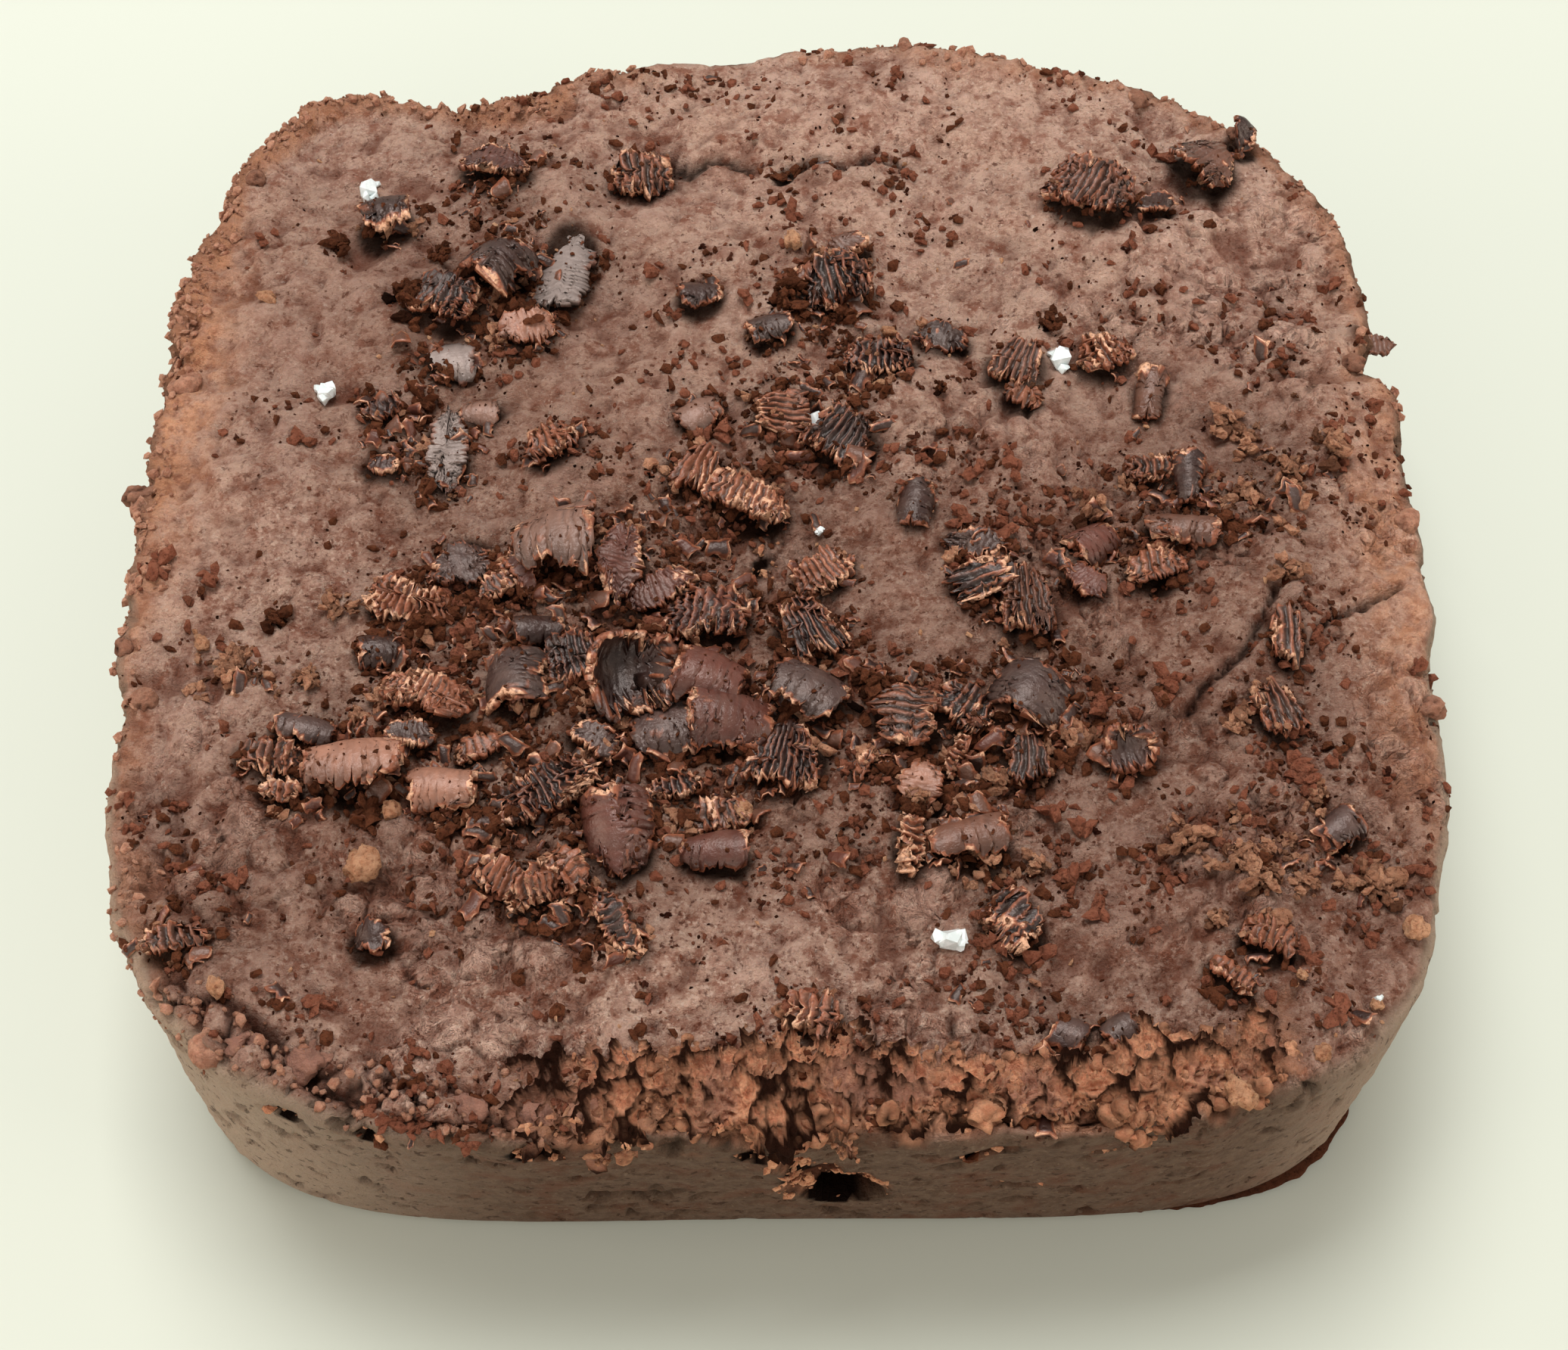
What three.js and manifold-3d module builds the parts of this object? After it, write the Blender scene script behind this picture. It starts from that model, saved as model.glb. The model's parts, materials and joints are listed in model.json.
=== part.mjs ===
// A piece of chocolate fudge: one soft block, moulded as a rounded square, with curled chocolate
// shavings, crumbs and coarse salt pressed into its top. A crumbly lip runs along its front edge.
// Millimetres, +Z up. The origin is the middle of the flat base, and -Y is the front.

import * as THREE from "three";
import { mergeGeometries, mergeVertices } from "three/addons/utils/BufferGeometryUtils.js";
import Module from "manifold-3d";

const wasm = await Module();
wasm.setup();

// ---- driving dimensions, in millimetres ----

const WIDTH = 42.6; // left to right at the lip
const DEPTH = 43; // front to back at the lip
const HEIGHT = 10.2; // base to the plain top
const FOOT_SHARE = 0.957; // the mould tapers, so the base is this share of the lip
const LIP_SQUARENESS = 4; // power of the rounded square at the lip
const FOOT_SQUARENESS = 5; // and at the base, where the corners are fuller
const LIP_RADIUS = 0.8; // round between wall and top
const FOOT_RADIUS = 0.45; // small round under the wall
const SHAVING_THICKNESS = 0.28;
const SHAVING_SINK = 0.16; // how far a shaving is pressed into the top
const BED_DEPTH = 0.25; // how far the dough that beds a flat shaving reaches under it
const CRUMB_SINK_SHARE = 0.35; // share of a crumb's radius that is pressed in
const RIB_PITCH = 0.52; // ridge to ridge on a grated shaving
const RIB_DEPTH = 0.2;
const GRANULE_RADIUS = 0.46; // crumbs of the broken front lip
const SALT_RADIUS = 0.45;

// ---- mesh fineness ----

const TOP_CELLS = 20; // cells along each side of the top
const WALL_STEPS = 3;
const LIP_STEPS = 2;
const CURL_STEPS = 4; // facets round a curl
const LEAF_CORNERS = 7; // corners of a torn flake

// ---- seeds, one for each random draw ----

const SEEDS = {
  swell: 11,
  ripple: 23,
  rim: 31,
  shavings: 47,
  drifts: 59,
  lip: 67,
  edge: 71,
  pits: 83,
  skirt: 97,
};

// ---- unevenness of the block ----

// Bumps (height above zero) and dips of the top, each a soft mound.
const MOUNDS = [
  { x: 0.5, y: 18.2, alongX: 5.5, alongY: 1.3, height: 0.55 }, // ridge near the back
  { x: 12.5, y: 14.6, alongX: 3, alongY: 1.6, height: 0.3 },
  { x: -12.5, y: 19.2, alongX: 3.6, alongY: 2.2, height: -0.7 }, // worn edge at the back left
  { x: 10, y: -12, alongX: 2.6, alongY: 2.4, height: -0.35 },
  { x: 16.5, y: -3, alongX: 2, alongY: 4, height: 0.25 },
  { x: 14, y: -8.4, alongX: 1.6, alongY: 2, height: -0.25 },
  { x: -1.5, y: -17, alongX: 5, alongY: 1.6, height: 0.22 },
  { x: -14.5, y: 1, alongX: 3, alongY: 3, height: 0.2 },
  { x: -4, y: -5, alongX: 5, alongY: 4, height: -0.2 },
  { x: 7.5, y: 9.5, alongX: 3, alongY: 2.4, height: -0.2 },
];

// Places where the outline swings out or in, by its heading from the middle, in degrees.
const OUTLINE_SWINGS = [
  { heading: 356, spread: 6, push: 0.25 },
  { heading: 12, spread: 6, push: 0.2 },
  { heading: 17.6, spread: 1.8, push: -0.85 }, // nick in the right side
  { heading: 47, spread: 6.5, push: -0.6 }, // flattened corner at the back right
  { heading: 83, spread: 15, push: 0.9 }, // bulge of the back
  { heading: 105, spread: 3, push: -0.45 },
  { heading: 112, spread: 2.5, push: -0.45 },
  { heading: 116.5, spread: 6, push: -1.6 }, // bitten corner at the back left
  { heading: 122, spread: 3, push: -0.5 },
  { heading: 132, spread: 4.5, push: 0.6 },
  { heading: 146, spread: 4, push: -0.35 },
  { heading: 166, spread: 5, push: 0.15 },
  { heading: 200, spread: 10, push: -0.2 },
  { heading: 222, spread: 8, push: -0.25 },
  { heading: 327, spread: 6, push: -0.3 },
  { heading: 340, spread: 6, push: -0.2 },
];

// Holes of the wall and lip, by heading: size and depth into the dough. -90 is the middle of the front.
const PITS = [
  { heading: -84.9, z: 4.6, wide: 2.4, high: 2, deep: 1.8 }, // the torn crevice
  { heading: -87.6, z: 6.4, wide: 1.7, high: 2.2, deep: 1 },
  { heading: -89.4, z: 8, wide: 1.3, high: 2, deep: 0.8 },
  { heading: -108.3, z: 9.2, wide: 1.5, high: 1, deep: 1.4 },
  { heading: -119.8, z: 9.3, wide: 0.9, high: 0.7, deep: 1 },
  { heading: -125.6, z: 9.1, wide: 1.1, high: 0.8, deep: 1 },
  { heading: -92, z: 9, wide: 1.2, high: 0.9, deep: 1.2 },
  { heading: -74.5, z: 9, wide: 1.8, high: 0.8, deep: 1.1 },
  { heading: -71, z: 4.8, wide: 1.8, high: 0.4, deep: 0.5 },
];

// The thin skirt of dough squeezed out under the front right corner, by heading.
const SKIRT = { from: 297, to: 324, steps: 10, high: 0.5, out: 0.6 };

// ---- what lies on the top ----

// Each shaving: kind, middle, length along its heading, width across it, and heading in degrees.
// A curl is a shell round its own length; ribs and combs have ridges across their length.
const SHAVINGS = [
  { kind: "curl", x: -7.2, y: -1.4, long: 2.5, wide: 2.6, turn: 4, rise: 1.25 },
  { kind: "leaf", x: -5.2, y: -1.7, long: 2.9, wide: 1.4, turn: 83, rise: 0.55 },
  { kind: "leaf", x: -3.9, y: -2.7, long: 2.5, wide: 1.2, turn: 23, rise: 0.5 },
  { kind: "ribs", x: -2.3, y: -3.7, long: 2.7, wide: 1.9, turn: -12, rise: 0.5 },
  { kind: "leaf", x: -10.4, y: -1.7, long: 1.9, wide: 1.8, turn: 20, rise: 0.3 },
  { kind: "ribs", x: -12, y: -3.3, long: 2.6, wide: 1.4, turn: -12, rise: 0.4 },
  { kind: "roll", x: -4.9, y: -5.1, long: 2.3, wide: 2.2, turn: 62, rise: 1.3 },
  { kind: "curl", x: -8.3, y: -6.3, long: 2, wide: 1.7, turn: 92, rise: 0.8 },
  { kind: "ribs", x: -6.6, y: -5.5, long: 1.8, wide: 1.7, turn: 12, rise: 0.6 },
  { kind: "ribs", x: -11.2, y: -7, long: 2.8, wide: 1.4, turn: -16, rise: 0.5 },
  { kind: "curl", x: -2.3, y: -6.4, long: 2, wide: 1.9, turn: -18, rise: 0.95 },
  { kind: "curl", x: -1.7, y: -7.8, long: 2.5, wide: 1.9, turn: -5, rise: 0.85 },
  { kind: "curl", x: -3.7, y: -8, long: 1.8, wide: 1.8, turn: 12, rise: 0.55 },
  { kind: "comb", x: 0.1, y: -9.1, long: 2.5, wide: 2.2, turn: -12, rise: 0.5 },
  { kind: "curl", x: -13.2, y: -9.5, long: 2.8, wide: 1.9, turn: 5, rise: 0.75 },
  { kind: "ribs", x: -15.9, y: -9, long: 2, wide: 1.1, turn: -6, rise: 0.4 },
  { kind: "curl", x: -10.4, y: -10.1, long: 1.9, wide: 1.3, turn: 0, rise: 0.6 },
  { kind: "ribs", x: -7.3, y: -10.2, long: 3.4, wide: 1.6, turn: 28, rise: 0.4 },
  { kind: "curl", x: -4.9, y: -11.8, long: 2.6, wide: 1.8, turn: 96, rise: 0.8 },
  { kind: "ribs", x: -4.9, y: -14.8, long: 2.4, wide: 0.9, turn: -56, rise: 0.4 },
  { kind: "comb", x: 8, y: -3.5, long: 1.9, wide: 2.6, turn: 0, rise: 0.5 },
  { kind: "ribs", x: 6.6, y: -2.5, long: 1.2, wide: 2.1, turn: -72, rise: 0.4 },
  { kind: "crumb", x: 10.5, y: 0.6, long: 1.9, wide: 1.6, turn: 0, rise: 1.1 },
  { kind: "leaf", x: 12.4, y: -2.1, long: 1.8, wide: 1.2, turn: 11, rise: 0.45 },
  { kind: "curl", x: 13.4, y: -0.5, long: 2.3, wide: 1, turn: -13, rise: 0.45 },
  { kind: "comb", x: 15.7, y: -7.5, long: 1.5, wide: 2, turn: 14, rise: 0.4 },
  { kind: "ribs", x: 4, y: -7.7, long: 2.2, wide: 1.9, turn: 85, rise: 0.65 },
  { kind: "ribs", x: 5.8, y: -7.3, long: 1.8, wide: 1.5, turn: -35, rise: 0.4 },
  { kind: "roll", x: 7.9, y: -6.9, long: 1.9, wide: 2.1, turn: 58, rise: 1 },
  { kind: "comb", x: 7.8, y: -8.9, long: 1.4, wide: 1.7, turn: 0, rise: 0.35 },
  { kind: "curl", x: 5.7, y: -12.1, long: 2.2, wide: 1.3, turn: 11, rise: 0.6 },
  { kind: "ribs", x: 6.9, y: -14.6, long: 1.9, wide: 1.6, turn: -55, rise: 0.5 },
  { kind: "curl", x: 0.9, y: -6.8, long: 2.2, wide: 2, turn: -30, rise: 0.6 },
  { kind: "comb", x: 1, y: -4.4, long: 2, wide: 2.2, turn: 24, rise: 0.55 },
  { kind: "ribs", x: 1.5, y: -2.1, long: 1.9, wide: 1.3, turn: 34, rise: 0.6 },
  { kind: "roll", x: -14.1, y: 13.2, long: 1.7, wide: 1.8, turn: 10, rise: 0.8 },
  { kind: "ribs", x: -11.8, y: 9.4, long: 2.7, wide: 1.8, turn: -24, rise: 0.7 },
  { kind: "roll", x: -9.8, y: 10.6, long: 2, wide: 2, turn: 50, rise: 1.1 },
  { kind: "leaf", x: -7.5, y: 11.2, long: 3.9, wide: 1.8, turn: 80, rise: 0.25 },
  { kind: "leaf", x: -10.3, y: 15.8, long: 2.6, wide: 1.6, turn: -14, rise: 0.6 },
  { kind: "ribs", x: -4.9, y: 15.6, long: 2, wide: 1.7, turn: 6, rise: 0.55 },
  { kind: "leaf", x: -8.8, y: 8.3, long: 2, wide: 1.4, turn: 19, rise: 0.4 },
  { kind: "curl", x: -11.4, y: 6.9, long: 1.6, wide: 1.4, turn: 0, rise: 0.45 },
  { kind: "ribs", x: -11.2, y: 3, long: 3.4, wide: 1.3, turn: 90, rise: 0.35 },
  { kind: "leaf", x: -7.6, y: 2.9, long: 1.7, wide: 1.4, turn: 24, rise: 0.45 },
  { kind: "comb", x: -2.7, y: 2, long: 1.7, wide: 1.7, turn: -25, rise: 0.5 },
  { kind: "leaf", x: -1.1, y: 0.7, long: 2.8, wide: 1.4, turn: -19, rise: 0.6 },
  { kind: "comb", x: 0.2, y: 4.5, long: 2, wide: 1.8, turn: 90, rise: 0.45 },
  { kind: "comb", x: 2.1, y: 3.5, long: 2.5, wide: 1.9, turn: -30, rise: 0.6 },
  { kind: "ribs", x: 3.6, y: 6.8, long: 2.3, wide: 1.4, turn: -7, rise: 0.45 },
  { kind: "leaf", x: 5.8, y: 8, long: 1.8, wide: 1.2, turn: -13, rise: 0.4 },
  { kind: "comb", x: 8.3, y: 6.5, long: 1.9, wide: 1.8, turn: -20, rise: 0.5 },
  { kind: "ribs", x: 11.4, y: 6.8, long: 1.9, wide: 1.4, turn: 24, rise: 0.5 },
  { kind: "ribs", x: 11.4, y: 13.9, long: 3, wide: 2.3, turn: -27, rise: 0.8 },
  { kind: "leaf", x: 15.7, y: 15.6, long: 2.5, wide: 2, turn: -50, rise: 0.7 },
  { kind: "leaf", x: 17.3, y: 17, long: 1.4, wide: 0.9, turn: 76, rise: 1 },
  { kind: "ribs", x: 2, y: 9.9, long: 2.6, wide: 2, turn: 10, rise: 0.7 },
  { kind: "leaf", x: 21.2, y: 8.1, long: 1.6, wide: 0.8, turn: 5, rise: 0.3 }, // spike on the right edge
  { kind: "crumb", x: -21.5, y: 1.3, long: 1.7, wide: 1.4, turn: 0, rise: 1 }, // lump on the left edge
];

// Where crumbs and shreds have drifted: middle, spread each way, heading, how many and how big.
const DRIFTS = [
  { x: -5, y: -5, alongX: 4.6, alongY: 3.6, turn: 0, count: 11, radius: 0.47 },
  { x: 15, y: -12.6, alongX: 2.2, alongY: 1.1, turn: -10, count: 10, radius: 0.5 },
  { x: 16.6, y: 1.4, alongX: 1.1, alongY: 2.1, turn: 0, count: 7, radius: 0.5 },
  { x: -17, y: -5.8, alongX: 1.3, alongY: 0.7, turn: 0, count: 4, radius: 0.45 },
  { x: -11.5, y: 8.5, alongX: 2.6, alongY: 2.2, turn: 0, count: 5, radius: 0.5 },
  { x: 6.2, y: -12, alongX: 0.9, alongY: 2.8, turn: 8, count: 4, radius: 0.45 },
  { x: 1.5, y: 8.8, alongX: 1.8, alongY: 1.6, turn: 0, count: 4, radius: 0.45 },
  { x: 0, y: 2, alongX: 9, alongY: 8, turn: 0, count: 6, radius: 0.42 },
];

const SALT = [
  { x: -14.9, y: 15, size: 1 },
  { x: -15.5, y: 5.4, size: 0.85 },
  { x: 9.8, y: 6.6, size: 1.1 },
  { x: 1.3, y: 4.3, size: 0.75 },
  { x: 5, y: -15.3, size: 1 },
];

const LIP = { fromX: -17, toX: 15, count: 30, low: -0.9, high: 0.1 }; // broken front lip
const EDGE_CRUMBS = 12; // stray crumbs round the rest of the edge

// ---- small helpers ----

// A repeatable stream of numbers from 0 to 1.
function seededRandom(seed) {
  let state = seed >>> 0;
  return () => {
    state = (state + 0x6d2b79f5) >>> 0;
    let mixed = Math.imul(state ^ (state >>> 15), 1 | state);
    mixed = (mixed + Math.imul(mixed ^ (mixed >>> 7), 61 | mixed)) ^ mixed;
    return ((mixed ^ (mixed >>> 14)) >>> 0) / 4294967296;
  };
}

function between(random, low, high) {
  return low + (high - low) * random();
}

// A number near zero whose spread is about one, from the sum of three even draws.
function nearZero(random) {
  return (random() + random() + random() - 1.5) * 2;
}

function smoothStep(value, low, high) {
  const share = THREE.MathUtils.clamp((value - low) / (high - low), 0, 1);
  return share * share * (3 - 2 * share);
}

// A soft, uneven field over the top: waves of about one length with seeded headings.
function makeWaves(seed, count, waveLength, height) {
  const random = seededRandom(seed);
  const waves = [];
  for (let index = 0; index < count; index++) {
    const heading = random() * Math.PI * 2;
    const turnsPerMm = (Math.PI * 2) / (waveLength * between(random, 0.7, 1.5));
    const alongX = Math.cos(heading) * turnsPerMm;
    const alongY = Math.sin(heading) * turnsPerMm;
    waves.push({ alongX, alongY, phase: random() * Math.PI * 2 });
  }
  const share = height / Math.sqrt(count / 2);
  return (x, y) => {
    let sum = 0;
    for (const wave of waves) sum += Math.sin(wave.alongX * x + wave.alongY * y + wave.phase);
    return sum * share;
  };
}

const swell = makeWaves(SEEDS.swell, 10, 9, 0.16);
const ripple = makeWaves(SEEDS.ripple, 14, 3.6, 0.08);
const rimWaves = makeWaves(SEEDS.rim, 12, 3, 0.13);

// ---- the block ----

// How far the rounded square reaches from the middle along a heading, at a share of the height.
function reach(directionX, directionY, heightShare) {
  const power = THREE.MathUtils.lerp(FOOT_SQUARENESS, LIP_SQUARENESS, heightShare);
  const alongX = Math.abs(directionX) / (WIDTH / 2);
  const alongY = Math.abs(directionY) / (DEPTH / 2);
  return Math.pow(Math.pow(alongX, power) + Math.pow(alongY, power), -1 / power);
}

// The wall's height and its distance inside the lip, from the base up to where the top begins.
function wallProfile() {
  const footInset = ((1 - FOOT_SHARE) * WIDTH) / 2;
  const profile = [{ z: 0, inset: footInset + FOOT_RADIUS }];
  const wallTop = HEIGHT - LIP_RADIUS;
  for (let step = 0; step <= WALL_STEPS; step++) {
    const share = step / WALL_STEPS;
    const z = THREE.MathUtils.lerp(FOOT_RADIUS, wallTop, share);
    profile.push({ z, inset: footInset * (1 - share) });
  }
  for (let step = 1; step <= LIP_STEPS; step++) {
    const angle = (step / LIP_STEPS) * (Math.PI / 2);
    const z = wallTop + LIP_RADIUS * Math.sin(angle);
    profile.push({ z, inset: LIP_RADIUS * (1 - Math.cos(angle)) });
  }
  return profile;
}

// A point of the unit square's edge, walked anticlockwise from its lower right corner.
function squareEdge(step) {
  const side = Math.floor(step / TOP_CELLS) % 4;
  const along = -1 + (2 * (step % TOP_CELLS)) / TOP_CELLS;
  if (side === 0) return [1, along];
  if (side === 1) return [-along, 1];
  if (side === 2) return [-1, -along];
  return [along, -1];
}

// How far the plain wall is from the middle at a height, along a heading in degrees.
function wallReach(heading, z) {
  const angle = THREE.MathUtils.degToRad(heading);
  const taper = THREE.MathUtils.lerp(FOOT_SHARE, 1, z / HEIGHT);
  return reach(Math.cos(angle), Math.sin(angle), z / HEIGHT) * taper;
}

// Carries a point of the unit square to the rounded outline at a height, less an inset.
function toOutline(a, b, z, inset) {
  const edge = Math.max(Math.abs(a), Math.abs(b));
  if (edge === 0) return new THREE.Vector3(0, 0, z);
  const length = Math.hypot(a, b);
  const full = reach(a / length, b / length, z / HEIGHT) - inset;
  const even = (WIDTH / 2) * (length / edge);
  const pull = THREE.MathUtils.lerp(1, full / even, edge * edge);
  return new THREE.Vector3((a * pull * WIDTH) / 2, (b * pull * WIDTH) / 2, z);
}

// How much the outline swings out, in millimetres, along a heading.
function outlineSwing(x, y) {
  const heading = THREE.MathUtils.euclideanModulo(THREE.MathUtils.radToDeg(Math.atan2(y, x)), 360);
  let push = rimWaves(x, y);
  for (const swing of OUTLINE_SWINGS) {
    const apart = THREE.MathUtils.euclideanModulo(heading - swing.heading + 180, 360) - 180;
    push += swing.push * Math.exp(-Math.pow(apart / swing.spread, 2));
  }
  return push;
}

// How much the top stands above its plain height.
function topRelief(x, y) {
  let lift = swell(x, y) + ripple(x, y);
  for (const mound of MOUNDS) {
    const alongX = (x - mound.x) / mound.alongX;
    const alongY = (y - mound.y) / mound.alongY;
    lift += mound.height * Math.exp(-(alongX * alongX + alongY * alongY));
  }
  return lift;
}

// Moves a point of the plain block to its place on the uneven one.
function shapeDough(point) {
  const distance = Math.hypot(point.x, point.y) || 1;
  const outwardX = point.x / distance;
  const outwardY = point.y / distance;
  const rim = smoothStep(distance / reach(outwardX, outwardY, 1), 0.72, 1);
  const upper = smoothStep(point.z, 0.2 * HEIGHT, 0.85 * HEIGHT);
  const push = outlineSwing(point.x, point.y) * rim * upper;
  const lift = topRelief(point.x, point.y) * smoothStep(point.z, 0.5 * HEIGHT, HEIGHT);
  point.x += outwardX * push;
  point.y += outwardY * push;
  point.z += lift;
}

// The height of the finished top over a place, with the round of the lip taken off.
function topHeight(x, y) {
  const distance = Math.hypot(x, y) || 1;
  const edge = reach(x / distance, y / distance, 1) + outlineSwing(x, y);
  const inside = Math.max(edge - distance, 0);
  let drop = 0;
  if (inside < LIP_RADIUS) {
    const short = LIP_RADIUS - inside;
    drop = LIP_RADIUS - Math.sqrt(LIP_RADIUS * LIP_RADIUS - short * short);
  }
  return HEIGHT + topRelief(x, y) - drop;
}

function moveEach(geometry, move) {
  const position = geometry.getAttribute("position");
  const point = new THREE.Vector3();
  for (let index = 0; index < position.count; index++) {
    point.fromBufferAttribute(position, index);
    move(point);
    position.setXYZ(index, point.x, point.y, point.z);
  }
  return geometry;
}

// Keeps only the positions, with the vertices that share a place made one.
function weld(geometry) {
  const bare = new THREE.BufferGeometry();
  const loose = geometry.index ? geometry.toNonIndexed() : geometry;
  bare.setAttribute("position", loose.getAttribute("position"));
  return mergeVertices(bare, 1e-4);
}

function blockGeometry() {
  const profile = wallProfile();
  const around = TOP_CELLS * 4;
  const top = new THREE.PlaneGeometry(2, 2, TOP_CELLS, TOP_CELLS);
  moveEach(top, (point) => point.copy(toOutline(point.x, point.y, HEIGHT, LIP_RADIUS)));

  const rows = profile.length - 1;
  const wall = new THREE.PlaneGeometry(around, rows, around, rows);
  moveEach(wall, (point) => {
    const step = Math.round(point.x + around / 2) % around;
    const { z, inset } = profile[Math.round(point.y + rows / 2)];
    point.copy(toOutline(...squareEdge(step), z, inset));
  });

  const footprint = [];
  for (let step = 0; step < around; step++) {
    const corner = toOutline(...squareEdge(step), 0, profile[0].inset);
    footprint.push(new THREE.Vector2(corner.x, corner.y));
  }
  const base = new THREE.ShapeGeometry(new THREE.Shape(footprint));
  const corners = base.index.array;
  for (let index = 0; index < corners.length; index += 3) {
    [corners[index + 1], corners[index + 2]] = [corners[index + 2], corners[index + 1]];
  }

  const whole = weld(mergeGeometries([top, wall, base].map(weld)));
  return moveEach(whole, shapeDough);
}

// ---- shavings, crumbs and crystals ----

// Lays a piece on the top, turned and pressed in a little.
function layOnTop(geometry, { x, y, turn }, sink) {
  geometry.rotateZ(THREE.MathUtils.degToRad(turn));
  geometry.translate(x, y, topHeight(x, y) - sink);
  return geometry;
}

// A bent strip seen end on: an arc of the given width and rise, as thick as a shaving.
function arcSection(wide, rise) {
  const radius = (wide * wide) / (8 * rise) + rise / 2;
  const half = rise > wide / 2 ? Math.PI - Math.asin(wide / 2 / radius) : Math.asin(wide / 2 / radius);
  const middleY = rise - radius;
  const section = new THREE.Shape();
  const from = Math.PI / 2 + half;
  const to = Math.PI / 2 - half;
  section.absarc(0, middleY, radius, from, to, true);
  section.absarc(0, middleY, radius - SHAVING_THICKNESS, to, from, false);
  section.closePath();
  return section;
}

// A curl or roll: the bent strip drawn out along its own length, its ends torn.
function curlGeometry(piece, random) {
  const section = arcSection(piece.wide, piece.rise);
  const options = { depth: piece.long, bevelEnabled: false, curveSegments: CURL_STEPS, steps: 1 };
  const strip = weld(new THREE.ExtrudeGeometry(section, options));
  strip.applyMatrix4(new THREE.Matrix4().set(0, 0, 1, -piece.long / 2, 1, 0, 0, 0, 0, 1, 0, 0, 0, 0, 0, 1));
  return moveEach(strip, (point) => {
    point.x *= between(random, 0.82, 1.08);
  });
}

// A grated shaving: ridges across its length, drawn out along its width, then bowed.
// A comb is narrower at its back, so that its ridges spread like a fan.
function ribGeometry(piece, random) {
  const count = Math.max(3, Math.round(piece.long / RIB_PITCH));
  const pitch = piece.long / count;
  const section = new THREE.Shape();
  section.moveTo(-piece.long / 2, 0);
  section.lineTo(piece.long / 2, 0);
  for (let rib = count; rib > 0; rib--) {
    section.lineTo(-piece.long / 2 + pitch * rib, SHAVING_THICKNESS);
    section.lineTo(-piece.long / 2 + pitch * (rib - 0.5), SHAVING_THICKNESS + RIB_DEPTH);
  }
  section.lineTo(-piece.long / 2, SHAVING_THICKNESS);
  section.closePath();
  const options = { depth: piece.wide, bevelEnabled: false, steps: 1 };
  const strip = weld(new THREE.ExtrudeGeometry(section, options));
  strip.rotateX(Math.PI / 2);
  strip.translate(0, piece.wide / 2, 0);
  const narrow = piece.kind === "comb" ? 0.5 : 1;
  return moveEach(strip, (point) => {
    const along = (2 * point.x) / piece.long;
    const across = point.y / piece.wide + 0.5;
    const bow = (piece.rise - SHAVING_THICKNESS) * (1 - along * along * 0.8);
    point.x *= THREE.MathUtils.lerp(1, narrow, across);
    if (point.z < SHAVING_THICKNESS / 2) point.z = -BED_DEPTH;
    else {
      point.y += between(random, -0.14, 0.14) * piece.wide;
      point.z += bow * (0.45 + 0.75 * across);
    }
  });
}

// A flat flake with a torn edge, arched along its length and lifted at one side.
function leafGeometry(piece, random) {
  const outline = [];
  for (let corner = 0; corner < LEAF_CORNERS; corner++) {
    const angle = (corner / LEAF_CORNERS) * Math.PI * 2;
    const out = between(random, 0.78, 1.08);
    const x = (Math.cos(angle) * out * piece.long) / 2;
    const y = (Math.sin(angle) * out * piece.wide) / 2;
    outline.push(new THREE.Vector2(x, y));
  }
  const options = { depth: SHAVING_THICKNESS, bevelEnabled: false, steps: 1 };
  const flake = weld(new THREE.ExtrudeGeometry(new THREE.Shape(outline), options));
  const bow = piece.rise - SHAVING_THICKNESS;
  return moveEach(flake, (point) => {
    const along = (2 * point.x) / piece.long;
    if (point.z < SHAVING_THICKNESS / 2) point.z = -BED_DEPTH;
    else point.z += bow * (1 - along * along) + (bow * point.y) / piece.wide;
  });
}

// A crumb or crystal: a small solid of twenty faces, pushed out of true.
function grainGeometry(radius, random, squash = 0.75) {
  const grain = weld(new THREE.IcosahedronGeometry(radius, 0));
  const stretch = [between(random, 0.8, 1.3), between(random, 0.8, 1.2), squash];
  const turn = random() * Math.PI;
  moveEach(grain, (point) => {
    const push = between(random, 0.78, 1.18);
    point.set(point.x * stretch[0] * push, point.y * stretch[1] * push, point.z * stretch[2] * push);
  });
  return grain.rotateZ(turn);
}

// A whole crumb that is as long, wide and high as the piece says.
function crumbGeometry(piece, random) {
  const grain = grainGeometry(0.5, random, 1);
  return grain.scale(piece.long, piece.wide, piece.rise * 1.3);
}

const MAKERS = {
  curl: curlGeometry,
  roll: curlGeometry,
  ribs: ribGeometry,
  comb: ribGeometry,
  leaf: leafGeometry,
  crumb: crumbGeometry,
};

function shavingPieces() {
  const random = seededRandom(SEEDS.shavings);
  const bySize = [...SHAVINGS].sort((one, other) => other.long * other.wide - one.long * one.wide);
  return bySize.map((piece) => layOnTop(MAKERS[piece.kind](piece, random), piece, SHAVING_SINK));
}

function onTop(x, y, margin) {
  const distance = Math.hypot(x, y) || 1;
  return distance < reach(x / distance, y / distance, 1) + outlineSwing(x, y) - margin;
}

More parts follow.
